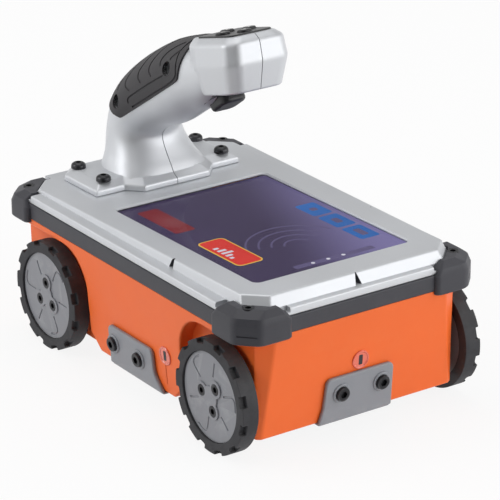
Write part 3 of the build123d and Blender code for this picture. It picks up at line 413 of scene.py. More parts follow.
def loft(name, rings):
    """Solid drawn as a ring of points and extruded through further rings, in millimetres."""
    piece = drawn(name, rings[0], "NGON")
    for before, after in zip(rings, rings[1:]):
        bpy.ops.mesh.extrude_region_move(TRANSFORM_OT_translate={"value": (0, 0, 0)})
        mesh = bmesh.from_edit_mesh(piece.data)
        for vertex in (v for v in mesh.verts if v.select):
            point = vertex.co / MM
            nearest = min(range(len(before)), key=lambda i: (Vector(before[i]) - point).length_squared)
            vertex.co = Vector(after[nearest]) * MM
        bmesh.update_edit_mesh(piece.data)
    return closed(piece)


def plate(name, where, outline, low, high):
    """Solid of one outline between two heights over a place."""
    return loft(name, [ring(where, outline, low), ring(where, outline, high)])


def stack(name, where, sides, rows):
    """Round solid through rows of radius and height over a place."""
    return loft(name, [ring(where, circle(radius, sides), height) for radius, height in rows])


def lathe(name, profile, steps):
    """Ring turned about the upright axis from a closed profile of radius and height."""
    piece = drawn(name, [(radius, 0, height) for radius, height in profile], "NOTHING")
    bpy.ops.mesh.spin(steps=steps, angle=2 * pi, center=(0, 0, 0), axis=(0, 0, 1))
    return closed(piece, 0.00001)


def bar(name, points, radius):
    """Round bar along points in space, from a curve made into a mesh."""
    data = bpy.data.curves.new(name, "CURVE")
    data.dimensions = "3D"
    data.bevel_depth = radius * MM
    data.bevel_resolution = 1
    data.use_fill_caps = True
    spline = data.splines.new("NURBS")
    spline.points.add(len(points) - 1)
    for target, point in zip(spline.points, points):
        target.co = (*(Vector(point) * MM), 1)
    spline.use_endpoint_u = True
    spline.order_u = 3
    spline.resolution_u = 6
    curve = bpy.data.objects.new(name, data)
    bpy.context.scene.collection.objects.link(curve)
    hold(curve)
    bpy.ops.object.convert(target="MESH")
    edit(bpy.context.object)
    return closed(bpy.context.object, 0.000005)


def modify(piece, kind, **settings):
    """Add one modifier and apply it."""
    hold(piece)
    modifier = piece.modifiers.new(kind.lower(), kind)
    for key, value in settings.items():
        setattr(modifier, key, value)
    bpy.ops.object.modifier_apply(modifier=modifier.name)


def scrap(piece):
    """Remove a tool that has done its work."""
    data = piece.data
    bpy.data.objects.remove(piece)
    bpy.data.meshes.remove(data)


def measure(piece):
    """Volume of a piece in cubic millimetres, and how many of its edges aren't shared by two faces."""
    mesh = bmesh.new()
    mesh.from_mesh(piece.data)
    volume = mesh.calc_volume() / MM ** 3
    torn = sum(1 for edge in mesh.edges if not edge.is_manifold)
    mesh.free()
    return volume, torn


def cut(piece, tool, how="DIFFERENCE", solvers=("EXACT", "MANIFOLD"), tries=8):
    """Cut one solid with another, or add it, or keep what they share; a torn result is tried again."""
    start = piece.data.copy()
    before, torn_before = measure(piece)
    own, torn_tool = measure(tool)
    low, high = {
        "DIFFERENCE": (before - own, before),
        "UNION": (max(before, own), before + own),
        "INTERSECT": (0.0, min(before, own)),
    }[how]
    slack = 0.003 * (before + own)
    for attempt in range(tries):
        modify(piece, "BOOLEAN", operation=how, solver=solvers[attempt % 2], object=tool)
        after, torn = measure(piece)
        changed = abs(after - before) > 0.001
        if changed and low - slack < after < high + slack and torn <= torn_before + torn_tool:
            break
        spoilt = piece.data
        piece.data = start.copy()
        bpy.data.meshes.remove(spoilt)
    else:
        raise RuntimeError(f"{piece.name} can't be cut by {tool.name}")
    bpy.data.meshes.remove(start)
    scrap(tool)


def trim(piece, spot, outward):
    """Cut a piece off flat at a place and close the cut."""
    edit(piece)
    bpy.ops.mesh.bisect(plane_co=spot * MM, plane_no=outward, use_fill=True, clear_outer=True)
    rest()


def smooth(piece, angle=32.0):
    """Smooth shading that keeps sharp edges, weighted by face area."""
    hold(piece)
    bpy.ops.object.shade_smooth_by_angle(angle=radians(angle))
    modify(piece, "WEIGHTED_NORMAL", keep_sharp=True, weight=60)
    return piece


def soften(piece, width, segments=3, angle=30.0):
    """Round the edges sharper than an angle."""
    modify(
        piece, "BEVEL", width=width * MM, segments=segments, limit_method="ANGLE",
        angle_limit=radians(angle), miter_outer="MITER_ARC",
    )


def copy_of(piece, name, matrix=None):
    """Copy of a piece with its own mesh, moved by a matrix in millimetres."""
    other = piece.copy()
    other.data = piece.data.copy()
    other.name = other.data.name = name
    bpy.context.scene.collection.objects.link(other)
    if matrix is not None:
        scale = Matrix.Scale(MM, 4)
        other.data.transform(scale @ matrix @ scale.inverted())
        if matrix.determinant() < 0:
            other.data.flip_normals()
    return other


def join(pieces, name):
    """Several pieces as one."""
    rest()
    for piece in pieces:
        piece.select_set(True)
    bpy.context.view_layer.objects.active = pieces[0]
    bpy.ops.object.join()
    pieces[0].name = pieces[0].data.name = name
    return pieces[0]


def solid_copy(node, name):
    """Copy of a solid with its triangles merged into whole faces, open in edit mode."""
    piece = copy_of(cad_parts[node], name)
    piece.parent = None
    for key in list(piece.keys()):
        del piece[key]
    edit(piece)
    bpy.ops.mesh.remove_doubles(threshold=0.000002)
    bpy.ops.mesh.dissolve_limited(angle_limit=radians(0.6))
    return piece


def round_edges(piece, test, width):
    """Round the edges of the open piece that pass a test."""
    bpy.ops.mesh.select_mode(type="EDGE")
    bpy.ops.mesh.select_all(action="DESELECT")
    mesh = bmesh.from_edit_mesh(piece.data)
    for edge in mesh.edges:
        edge.select_set(test(edge))
    mesh.select_flush_mode()
    bmesh.update_edit_mesh(piece.data)
    bpy.ops.mesh.bevel(offset=width * MM, segments=3, affect="EDGES", clamp_overlap=True)
    rest()


def sharp(edge, least=20.0):
    """Edge between two faces that meet at an angle."""
    return len(edge.link_faces) == 2 and edge.calc_face_angle(0.0) > radians(least)


def paint(piece, finishes):
    """Give a piece its finishes."""
    piece.data.materials.clear()
    for one in finishes:
        piece.data.materials.append(one)


def with_mark(piece, mark, finishes):
    """A piece joined with a mark on it, which has the second of two finishes."""
    for one in (piece, mark):
        paint(one, finishes)
    for polygon in mark.data.polygons:
        polygon.material_index = 1
    return join([piece, mark], piece.name)


def fit(piece, slot, finishes, *nodes, body="scanner_body"):
    """Set a piece on its body in place of the solids that it stands for, painted if it isn't yet."""
    rest()
    if finishes:
        paint(piece, finishes)
    if nodes:
        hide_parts(*nodes)
    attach(piece, body)


# Finishes

def feed(tree, node, inputs):
    """Set a node's inputs, each to a value or from the socket that feeds it."""
    for key, value in inputs.items():
        if isinstance(value, bpy.types.NodeSocket):
            tree.links.new(value, node.inputs[key])
        else:
            node.inputs[key].default_value = value


def add(tree, kind, inputs=None, **settings):
    """New node with its settings and inputs."""
    node = tree.nodes.new(kind)
    for key, value in settings.items():
        setattr(node, key, value)
    feed(tree, node, inputs or {})
    return node


def math(tree, operation, first, second, clamp=False):
    """Math node of two values or sockets."""
    inputs = {0: first, 1: second}
    return add(tree, "ShaderNodeMath", inputs, operation=operation, use_clamp=clamp).outputs[0]


def parts(tree, vector):
    """The X, Y and Z of a vector."""
    return add(tree, "ShaderNodeSeparateXYZ", {0: vector}).outputs


def noise(tree, scale, detail, roughness):
    """Noise over the piece's own space."""
    inputs = {
        "Vector": add(tree, "ShaderNodeTexCoord").outputs["Object"],
        "Scale": scale, "Detail": detail, "Roughness": roughness,
    }
    return add(tree, "ShaderNodeTexNoise", inputs).outputs["Fac"]


def span(tree, value, low, high, start=0.0, end=1.0, **settings):
    """A value between start and end, spread between two others."""
    inputs = {"Value": value, "From Min": start, "From Max": end, "To Min": low, "To Max": high}
    return add(tree, "ShaderNodeMapRange", inputs, **settings).outputs[0]


def mix(tree, factor, first, second):
    """Mix of two colours, each a colour or a socket."""
    first, second = ((*end, 1.0) if isinstance(end, tuple) else end for end in (first, second))
    return add(tree, "ShaderNodeMix", {0: factor, 6: first, 7: second}, data_type="RGBA").outputs[2]


def uneven(tree, factor, base, vary):
    """A colour that turns darker and lighter by a share."""
    darker, lighter = (tuple(min(1.0, c * (1 + share)) for c in base) for share in (-vary, vary))
    return mix(tree, factor, darker, lighter)


def group(name, inputs, outputs):
    """Empty shader node group with named values in and out."""
    tree = bpy.data.node_groups.new(name, "ShaderNodeTree")
    for label, default in inputs.items():
        socket = tree.interface.new_socket(label, in_out="INPUT", socket_type="NodeSocketFloat")
        socket.default_value = default
    for label in outputs:
        tree.interface.new_socket(label, in_out="OUTPUT", socket_type="NodeSocketFloat")
    return tree, tree.nodes.new("NodeGroupInput").outputs, tree.nodes.new("NodeGroupOutput")


@cache
def grain_group():
    """Moulded or cast grain: fine height, and slow variation of tone."""
    tree, given, out = group("Surface grain", {"Scale": 1500.0, "Coarse": 40.0}, ("Height", "Tone", "Fine"))
    fine = noise(tree, given["Scale"], 3.0, 0.6)
    slow = noise(tree, given["Coarse"], 5.0, 0.5)
    height = math(tree, "ADD", math(tree, "MULTIPLY", fine, 0.85), math(tree, "MULTIPLY", slow, 0.15))
    feed(tree, out, {"Height": height, "Tone": slow, "Fine": fine})
    return tree


@cache
def wear_group():
    """Wear on proud edges, broken up by noise."""
    tree, given, out = group("Edge wear", {"Amount": 0.5, "Scale": 120.0}, ("Mask",))
    edge = span(tree, add(tree, "ShaderNodeNewGeometry").outputs["Pointiness"], 0.0, 1.0, 0.51, 0.6)
    spots = span(tree, noise(tree, given["Scale"], 6.0, 0.65), 0.0, 1.0, 0.42, 0.62)
    both = math(tree, "MULTIPLY", edge, spots)
    feed(tree, out, {"Mask": math(tree, "MULTIPLY", both, given["Amount"], True)})
    return tree


@cache
def dust_group():
    """Dust that settles on upward faces."""
    tree, given, out = group("Settled dust", {"Amount": 0.1, "Scale": 60.0}, ("Mask",))
    facing = parts(tree, add(tree, "ShaderNodeNewGeometry").outputs["Normal"])
    up = math(tree, "MULTIPLY", facing["Z"], 1.0, True)
    both = math(tree, "MULTIPLY", up, noise(tree, given["Scale"], 6.0, 0.6))
    feed(tree, out, {"Mask": math(tree, "MULTIPLY", both, given["Amount"], True)})
    return tree


def effect(tree, make, **values):
    """Outputs of a shared effect, placed in a material with its own values."""
    return add(tree, "ShaderNodeGroup", values, node_tree=make()).outputs


def new_material(name):
    """New material, with its nodes and its shader."""
    made = bpy.data.materials.new(name)
    made.use_nodes = True
    return made, made.node_tree, made.node_tree.nodes["Principled BSDF"]


DUST = (0.5, 0.48, 0.45)


@cache
def finish(name, base, rough, vary, grain=3000.0, bump=0.25, wear=0.3, worn=None, dust=0.02,
           coarse=40.0, deep=0.05, **constants):
    """Opaque finish: a colour with grain, worn edges, dust, uneven gloss and fine relief."""
    made, tree, shader = new_material(name)
    texture = effect(tree, grain_group, Scale=grain, Coarse=coarse)
    tone = uneven(tree, texture["Tone"], base, vary)
    worn = worn or tuple(min(1.0, c * 1.35 + 0.02) for c in base)
    tone = mix(tree, effect(tree, wear_group, Amount=wear)["Mask"], tone, worn)
    tone = mix(tree, effect(tree, dust_group, Amount=dust)["Mask"], tone, DUST)
    gloss = span(tree, texture["Tone"], rough - 0.07, rough + 0.07)
    relief = {"Strength": bump, "Distance": deep * MM, "Height": texture["Height"]}
    normal = add(tree, "ShaderNodeBump", relief).outputs["Normal"]
    feed(tree, shader, {"Base Color": tone, "Roughness": gloss, "Normal": normal})
    feed(tree, shader, {key.replace("_", " "): value for key, value in constants.items()})
    return made


def orange():
    return finish("moulded_orange", tint("orange"), 0.42, 0.05, grain=2600.0, wear=0.15,
                  worn=(1.0, 0.3, 0.1), Specular_IOR_Level=0.32)


def charcoal():
    return finish("charcoal_plastic", tint("charcoal"), 0.48, 0.12, bump=0.35, wear=0.25,
                  worn=(0.12, 0.122, 0.13), dust=0.03, Specular_IOR_Level=0.33)


def silver():
    return finish("silver_paint", tint("silver"), 0.5, 0.03, grain=3200.0, wear=0.1, worn=(0.8, 0.81, 0.83),
                  coarse=25.0, deep=0.02, Metallic=0.7)


def rubber():
    return finish("grip_rubber", tint("rubber"), 0.62, 0.15, grain=1800.0, bump=0.4,
                  worn=(0.09, 0.088, 0.095), dust=0.06)


def black():
    return finish("black_plastic", tint("black"), 0.4, 0.15, grain=3200.0, bump=0.2, worn=(0.07, 0.07, 0.08),
                  dust=0.04)


def hub_grey():
    return finish("hub_grey", tint("hub"), 0.4, 0.06, grain=2600.0, worn=(0.45, 0.46, 0.48), dust=0.05)


def tyre_rubber():
    return finish("tyre_rubber", tint("tyre"), 0.66, 0.16, grain=1600.0, bump=0.5, wear=0.4,
                  worn=(0.1, 0.1, 0.11), dust=0.1)


def skid_grey():
    return finish("skid_grey", tint("skid"), 0.42, 0.06, grain=2200.0, worn=(0.5, 0.51, 0.53), dust=0.03)


def oxide():
    return finish("black_oxide", (0.025, 0.025, 0.028), 0.34, 0.2, bump=0.15, wear=0.5,
                  worn=(0.22, 0.22, 0.23), dust=0.03, Metallic=0.7)


def steel():
    return finish("ground_steel", (0.55, 0.55, 0.57), 0.28, 0.06, grain=4000.0, bump=0.1, wear=0.2,
                  Metallic=1.0)


def bronze():
    return finish("bush_bronze", (0.5, 0.32, 0.12), 0.36, 0.1, bump=0.15, wear=0.2, Metallic=1.0)


def board_green():
    return finish("solder_mask", (0.012, 0.09, 0.035), 0.4, 0.2, grain=900.0, bump=0.3, wear=0.1,
                  coarse=160.0)


def inner_black():
    return finish("inner_black", (0.02, 0.02, 0.021), 0.55, 0.15, grain=2400.0, bump=0.3, wear=0.2,
                  dust=0.03)


def white_print():
    return finish("white_print", (0.8, 0.8, 0.79), 0.5, 0.04, bump=0.1, wear=0.0)


def lens():
    return finish("laser_lens", tint("lens"), 0.16, 0.08, grain=1200.0, bump=0.05, wear=0.1,
                  Coat_Weight=0.6, Coat_Roughness=0.05)


@cache
def glass():
    """Bonded, anti-reflective cover glass with faint smudges."""
    made, tree, shader = new_material("cover_glass")
    smudges = span(tree, effect(tree, grain_group, Scale=260.0, Coarse=30.0)["Tone"], 0.0, 0.06)
    feed(tree, shader, {
        "Base Color": (0.9, 0.9, 0.94, 1.0), "Transmission Weight": 1.0, "IOR": 1.1, "Roughness": smudges,
    })
    return made


@cache
def lit(name, base, strength=1.0, other=None):
    """Lit part of the picture, uneven and grained, turning to another colour on one side."""
    made, tree, shader = new_material(name)
    texture = effect(tree, grain_group, Scale=900.0, Coarse=16.0)
    tone = uneven(tree, texture["Tone"], base, 0.25)
    if other:
        spot = parts(tree, add(tree, "ShaderNodeTexCoord").outputs["Object"])
        slant = math(tree, "SUBTRACT", spot["X"], math(tree, "MULTIPLY", spot["Y"], 0.35))
        side = span(tree, slant, 0.0, 1.0, 0.01, 0.08, interpolation_type="SMOOTHSTEP")
        tone = mix(tree, side, tone, other)
    feed(tree, shader, {
        "Base Color": (0.01, 0.01, 0.012, 1.0), "Specular IOR Level": 0.0, "Emission Color": tone,
        "Emission Strength": strength, "Roughness": span(tree, texture["Fine"], 0.25, 0.4),
    })
    return made


# Handle

def neck_row(station):
    """Section of the bent neck at a station, on a smooth line through its sections."""
    last = len(NECK) - 1
    i = min(int(station), last - 1)
    t = station - i
    a, b, c, d = (NECK[min(max(j, 0), last)] for j in (i - 1, i, i + 1, i + 2))
    return [
        0.5 * (2 * q + (r - p) * t + (2 * p - 5 * q + 4 * r - s) * t * t + (3 * q - p - 3 * r + s) * t ** 3)
        for p, q, r, s in zip(a, b, c, d)
    ]


def neck_point(station, angle, grow):
    """Point on the neck at a station and an angle in degrees, outside it by grow."""
    back, up, half_width, half_depth, lean = neck_row(station)
    tilt = radians(lean)
    spot = place(FOOT + Vector((0, back, up)), (0, -sin(tilt), cos(tilt)))
    turn = radians(angle)
    fullness = max(2.0, FOOT_FULLNESS - 0.35 * station) if sin(turn) < 0 else 2.0
    beside, along = (copysign(abs(part) ** (2 / fullness), part) for part in (cos(turn), sin(turn)))
    return spot @ Vector(((half_width + grow) * beside, (half_depth + grow) * along, 0))


def neck_rings(grow, sides=64, finer=3):
    """Rings of the bent neck, larger all round by grow."""
    stations = [step / finer for step in range(finer * (len(NECK) - 1) + 1)]
    return [[neck_point(station, 360 * side / sides, grow) for side in range(sides)] for station in stations]


def head_row(height, blur=1.2, samples=9):
    """Front, half width and corner of the head at a height, with its creases softened."""
    def at(z):
        low, high = next(((a, b) for a, b in zip(HEAD, HEAD[1:]) if z <= b[0]), HEAD[-2:])
        t = (z - low[0]) / (high[0] - low[0])
        return [p + (q - p) * t for p, q in zip(low[1:], high[1:])]

    rows = [at(height + blur * (2 * i / (samples - 1) - 1)) for i in range(samples)]
    return [sum(column) / samples for column in zip(*rows)]


def head_form():
    """Faceted head with its soft edges."""
    heights = [-24, -14, -7] + [-5 + step for step in range(11)] + [7.5]
    heights += [9 + 0.75 * step for step in range(9)]
    rings = []
    for height in heights:
        front, half, corner = head_row(height)
        outline = [
            (-half + corner, front), (half - corner, front), (half, front + corner), (half, 34.0),
            (half - 5.5, 51.0), (-half + 5.5, 51.0), (-half, 34.0), (-half, front + corner),
        ]
        rings.append(ring(HEAD_PLAN, rounded(outline, [7.0, 7.0, 7.0, 14, 0, 0, 14, 7.0]), height))
    head = loft("head", rings)
    for spot, outward in HEAD_TRIMS:
        way = HEAD_PLAN.to_3x3() @ Vector((0, *outward)).normalized()
        trim(head, HEAD_PLAN @ Vector((0, *spot)), way)
    soften(head, size("head_round"), 4)
    return head


def cut_trigger_rooms(piece):
    """Room for the trigger and its collar."""
    cut(piece, plate("trigger_room", TRIGGER, rounded_box(8.3, 9.8, 5.3), -12.3, 1.0))
    cut(piece, plate("collar_room", TRIGGER, rounded_box(9.8, 11.3, 6.8), -12.2, -7.5))


def cut_clamp_rooms(piece, start, depth):
    """Recesses of the clamp screws, open to the right."""
    for spot in CLAMPS:
        cut(piece, plate("recess", clamp_place(spot, start), circle(4.0, 32), 0, depth))


def handle_form():
    """Flange, neck and head as one casting, with room for the controls."""
    outline = [
        (-48.7, -22), (-30, -22), (-22, -31), (22, -31), (30, -22), (48.7, -22),
        (48.7, 13), (40.7, 21), (-40.7, 21), (-48.7, 13),
    ]
    edge = moved(outline, 0, FLANGE_Y)
    body = loft("handle", [
        ring(DECK, edge), ring(DECK, edge, 3.5), ring(DECK, inset(edge, 5.5), FLANGE_TOP),
    ])
    soften(body, 0.9, 3, 20.0)
    rings = neck_rings(0.0)
    sunk = [point - Vector((0, 0, 4.0)) for point in rings[0]]
    cut(body, loft("neck", [sunk] + rings), "UNION")
    cut(body, head_form(), "UNION")
    pad = moved(rounded_box(13.5, 15.0, 3.0), 0, PAD_Y)
    cut(body, plate("pad_room", HEAD_PLAN, pad, HEAD_TOP - 5.0, HEAD_TOP + 6.0))
    cut_trigger_rooms(body)
    cut_clamp_rooms(body, CLAMP_SEAT, 20)
    return body


class SCANNER_OT_handle(bpy.types.Operator):
    """Cast handle with its flange, bent neck and faceted head, split in two halves"""

    bl_idname = "scanner.handle"
    bl_label = "Handle"

    def execute(self, context):
        body = handle_form()
        for name, side in SIDES.items():
            half = copy_of(body, f"handle_{name}")
            trim(half, Vector((side * size("seam"), 0, 0)), (-side, 0, 0))
            fit(smooth(half), "silver_cover", [silver()], f"handle_{name}_shell")
        scrap(body)
        boss = plate("trigger_boss", TRIGGER, rounded_box(11, 12.5, 8), -14.0, -5.5)
        cut_trigger_rooms(boss)
        soften(boss, 0.8)
        fit(smooth(boss), "charcoal_guard", [charcoal()])
        return {"FINISHED"}


# Edge of the grip, seen from the side
GRIP_EDGE = (
    (-6.0, 38.0), (-20.0, 47.2), (-40.0, 60.4), (-54.0, 69.7), (-58.5, 72.7), (-61.6, 74.9),
    (-63.0, 77.0), (-65.0, 101.0), (-65.0, 112.0), (40.0, 112.0), (40.0, 47.0), (25.0, 47.0),
    (16.0, 43.6), (7.0, 40.5), (0.5, 38.6),
)
# Bent grooves of the grip: station on the neck, and the angles between which they run
CHEVRONS = (
    (7.45, 90, 150), (8.32, 90, 167), (9.55, 90, 165),
    (10.57, 90, 164), (11.68, 118, 156), (12.28, 134, 150),
)
# Long groove between the screw recesses, and the line inside the grip's edge, as stations and angles
LONG_GROOVE = [(11.88, 172), (11.0, 172.5), (9.7, 174), (8.6, 176), (8.3, 178), (8.28, 184)]
EDGE_GROOVE = [
    (12.87, 90), (12.8, 108), (12.68, 126), (12.56, 140), (12.53, 165), (12.52, 175), (12.35, 182),
    (11.85, 188), (10.57, 189), (9.28, 191), (8.4, 192),
]


def chevron(station, angle):
    """Station of a bent groove at an angle: it runs forward over the top and hooks at its lower end."""
    beside = abs(angle - 90)
    rise = max(0.0, 58 - beside) / 58
    hook = max(0.0, beside - 62) / 13
    return station + 2.0 * rise ** 1.2 + 0.29 * hook ** 2


def across(line):
    """A groove's line on the other side of the grip."""
    return [(station, 180 - angle) for station, angle in line]


def grip_grooves(steps=12):
    """Lines of all the grooves in the grip, on both sides."""
    lines = []
    for station, start, end in CHEVRONS:
        half = [end + (start - end) * step / steps for step in range(steps + 1)]
        line = [(chevron(station, angle), angle) for angle in half]
        if start == 90:
            lines.append(line + across(reversed(line[:-1])))
        else:
            lines += [line, across(line)]
    lines += [LONG_GROOVE, across(LONG_GROOVE)]
    lines.append(across(reversed(EDGE_GROOVE)) + EDGE_GROOVE[1:])
    return lines


class SCANNER_OT_grip(bpy.types.Operator):
    """Rubber grip let into the top of the neck, with its grooves and screw recesses"""

    bl_idname = "scanner.grip"
    bl_label = "Grip"

    def execute(self, context):
        proud = size("grip_proud")
        grip = loft("grip", neck_rings(proud))
        side = place(FOOT, (1, 0, 0), (0, 1, 0))
        cut(grip, plate("grip_edge", side, GRIP_EDGE, -60, 60), "INTERSECT")
        cut(grip, loft("grip_core", neck_rings(-2.0)))
        cut_clamp_rooms(grip, 10.0, 24)
        soften(grip, 0.7, 3, 40.0)
        for line in grip_grooves():
            points = [neck_point(station, angle, proud) for station, angle in line]
            cut(grip, bar("groove", points, size("groove_radius")), solvers=("MANIFOLD", "EXACT"))
        fit(smooth(grip), "grip_rubber", [rubber()], "handle_grip")
        return {"FINISHED"}


# Housing and door

def housing_outside(face):
    """Face on the outside of the housing's walls or floor."""
    c = face.calc_center_median() / MM
    n = face.normal
    return (
        (n.x * c.x > 0 and abs(n.x) > 0.3 and abs(c.x) > 66)
        or (n.y * c.y > 0 and abs(n.y) > 0.3 and abs(c.y) > 108)
        or (n.z < -0.5 and c.z < 13)
    )


def housing_rim(edge):
    """Sharp outer edge of the housing, away from the rail, the door and the laser windows."""
    m = (edge.verts[0].co + edge.verts[1].co) / 2 / MM
    door = m.y > 100 and abs(m.x) < 46 and 38 < m.z
    front = abs(m.x) < 6 and abs(m.z - WINDOW_FRONT_Z) < 6
    side = abs(m.y - WINDOW_SIDE_Y) < 6 and abs(m.z - WINDOW_SIDE_Z) < 6
    if door or front or side or m.z > RAIL_BOTTOM - 0.2 or not sharp(edge):
        return False
    return any(housing_outside(face) for face in edge.link_faces)


class SCANNER_OT_housing(bpy.types.Operator):
    """Moulded housing with rounded edges"""

    bl_idname = "scanner.housing"
    bl_label = "Housing"

    def execute(self, context):
        piece = solid_copy("lower_housing", "housing")
        round_edges(piece, housing_rim, size("housing_round"))
        slot = rounded_box(0.4, 6.2, 0.35, 3)
        for side in SIDES.values():
            cut(piece, plate("slot", side_wall(side, SLOT_Y, SLOT_Z), slot, -1.2, 1.0))
        fit(smooth(piece), "orange_housing", [orange()], "lower_housing")
        return {"FINISHED"}


def door_rim(edge):
    """Sharp edge of the battery door's outer face."""
    outward = Vector((0, cos(DRAFT), -sin(DRAFT)))
    broad = 100.0 * MM * MM
    faces = [face for face in edge.link_faces if face.calc_area() > broad]
    return sharp(edge, 40.0) and any(face.normal.dot(outward) > 0.98 for face in faces)


class SCANNER_OT_door(bpy.types.Operator):
    """Battery door with a softened outer rim"""

    bl_idname = "scanner.door"
    bl_label = "Battery door"

    def execute(self, context):
        piece = solid_copy("battery_door", "door")
        round_edges(piece, door_rim, size("door_round"))
        fit(smooth(piece), "orange_housing", [orange()], "battery_door", body="battery_door")
        return {"FINISHED"}


# Cover, guards and rail

MARK_HALF = 2.5
MARK_PAST_EDGE = 1.8
MARK_SIDE_Y = -39.0
# Centre marks notched in the deck's edge, their walls painted dark as painted shade in the notch: place, way
# in and slope of the edge
MARKS = [((0, PLATEAU_Y - PLATEAU_HALF_Y), (0, 1), END_SLOPE)]
MARKS += [((side * PLATEAU_HALF_X, MARK_SIDE_Y), (-side, 0), SIDE_SLOPE) for side in (-1, 1)]


def deck_form():
    """Raised deck with sloping sides and a tilted top."""
    rings = []
    for up in (-2.0, 12.0):
        outline = cut_box(PLATEAU_HALF_X - SIDE_SLOPE * up, PLATEAU_HALF_Y - END_SLOPE * up, PLATEAU_CORNER)
        rings.append(ring(shift(0, PLATEAU_Y), outline, LEDGE + up))
    deck = loft("cover", rings)
    trim(deck, DECK.translation, DECK.to_3x3().col[2])
    soften(deck, size("cover_round"), 4, 15.0)
    return deck


def guard_inside(end, arm, gap):
    """Inner edge of a corner guard along the deck, from the tip of one arm to that of the other."""
    x = PLATEAU_HALF_X + gap
    y = PLATEAU_HALF_Y + end * PLATEAU_Y + gap
    return [(GUARD_X - arm, y), (x - PLATEAU_CORNER, y), (x, y - PLATEAU_CORNER), (x, GUARD_Y - arm)]


def cut_guard_rooms(piece):
    """Seats of the corner guards in the ledge."""
    far_x, far_y = GUARD_X + 2, GUARD_Y + 2
    for end, arm, top in GUARDS.values():
        outline = guard_inside(end, arm, CLEAR)
        outline += [(far_x, GUARD_Y - arm), (far_x, far_y), (GUARD_X - arm, far_y)]
        for side in (-1, 1):
            corner = [(side * x, end * y) for x, y in outline]
            cut(piece, plate("guard_room", FLAT, corner, GUARD_SEAT, LEDGE + 5))


def cut_screen_rooms(piece):
    """Screen opening with its bevelled lip, the seat of the glass, and the hollow under the deck."""
    lip = size("screen_lip")
    cut(piece, loft("opening", [
        ring(SCREEN, rounded_box(SCREEN_HALF_X + grow, SCREEN_HALF_Y + grow, 3.5 + grow), height)
        for grow, height in ((0, -6.0), (0, -lip), (lip + 1.0, 1.0))
    ]))
    seat = rounded_box(SCREEN_HALF_X + 2.7, SCREEN_HALF_Y + 2.7, 3.5)
    cut(piece, plate("glass_room", SCREEN, seat, -16.0, GLASS_SEAT))
    cut(piece, plate("inside", DECK @ shift(0, PLATEAU_Y), cut_box(60.6, 103.2, 9.0), -16.0, -2.6))


def cut_marks(piece):
    """Pointed centre marks in the deck's edge."""
    for (x, y), (in_x, in_y), slope in MARKS:
        deep = slope * (DECK_HEIGHT - LEDGE) + MARK_PAST_EDGE
        outline = [
            (x + in_y * MARK_HALF - in_x, y + in_x * MARK_HALF - in_y),
            (x + in_x * deep, y + in_y * deep),
            (x - in_y * MARK_HALF - in_x, y - in_x * MARK_HALF - in_y),
        ]
        cut(piece, plate("notch", FLAT, outline, LEDGE + CLEAR, LEDGE + 8))


def shaded_notch_wall(polygon):
    """Wall of a centre mark, which gets the charcoal finish as painted shade in the notch."""
    upright = abs(polygon.normal.z) < 0.1 and polygon.center.z > LEDGE * MM
    near = (polygon.center.xy / MM - Vector(spot) for spot, inward, slope in MARKS)
    return upright and any(way.length < MARK_HALF + 2.0 for way in near)


class SCANNER_OT_cover(bpy.types.Operator):
    """Painted cover: a ledge, a raised and tilted deck with sloping sides, and the screen opening"""

    bl_idname = "scanner.cover"
    bl_label = "Cover"

    def execute(self, context):
        piece = deck_form()
        ledge = plate("ledge", FLAT, cut_box(74.6, 119.4, RAIL_CORNER), RAIL_TOP, LEDGE)
        soften(ledge, size("cover_round"))
        cut(piece, ledge, "UNION")
        cut_guard_rooms(piece)
        cut_screen_rooms(piece)
        cut_marks(piece)
        fit(smooth(piece), "silver_cover", [silver(), charcoal()], "top_cover")
        # The walls of the centre marks take the charcoal finish: painted shade in the notches.
        for polygon in piece.data.polygons:
            polygon.material_index = int(shaded_notch_wall(polygon))
        return {"FINISHED"}


def guard_outline(end, arm, less_x, less_y, radius, tip):
    """Edge of a corner guard, its outer sides set in, with rounded corners and tips."""
    inner = guard_inside(end, arm, GUARD_GAP)
    far_x, far_y = GUARD_X - less_x, GUARD_Y - less_y
    points = [(GUARD_X - arm, far_y), *inner, (far_x, GUARD_Y - arm)]
    points += [(far_x, far_y - GUARD_FACET), (far_x - GUARD_FACET, far_y)]
    return rounded(points, [tip, 0, 0, 0, 0, tip, radius, radius])


def guard(name, end, side, arm, top):
    """Corner guard with a leaning band, a sloping top, room for its screw and a fine groove."""
    corner = size("guard_corner")
    lean = min(6.0, GUARD_Y - guard_inside(end, arm, GUARD_GAP)[0][1] - 2.6)
    # Height, arms' length, how far the two sides are set in, and the radii of corners and tips
    rows = (
        (69.5, arm - 0.6, 0.6, 0.6, corner, 3.0),
        (70.3, arm, 0, 0, corner, 3.0),
        (top - 7.2, arm, 0, 0, corner, 3.0),
        (top - 3.4, arm - 2.6, 1.2, 1.2, corner, 2.6),
        (top, 24.5, 6.0, lean, 0.6, 0.4),
    )
    mirror = Matrix.Diagonal((side, end, 1, 1))
    piece = loft(name, [ring(mirror, guard_outline(end, *row), height) for height, *row in rows])
    cut(piece, plate("rail_room", FLAT, cut_box(RAIL_X, RAIL_Y, RAIL_CORNER), 60, GUARD_SEAT))
    hole = moved(circle(3.3, 32), side * GUARD_SCREW_X, end * GUARD_SCREW_Y)
    cut(piece, plate("screw_room", FLAT, hole, top - GUARD_SCREW_DEEP, top + 5))
    half = GUARD_FACET / 2
    spot = place((side * (GUARD_X - half), end * (GUARD_Y - half), 74.7), (side, end, 0), (0, 0, 1))
    cut(piece, plate("groove", spot, rounded_box(0.35, 5.5, 0.3, 2), -0.6, 3))
    soften(piece, size("guard_round"), 3, 24.0)
    return smooth(piece)


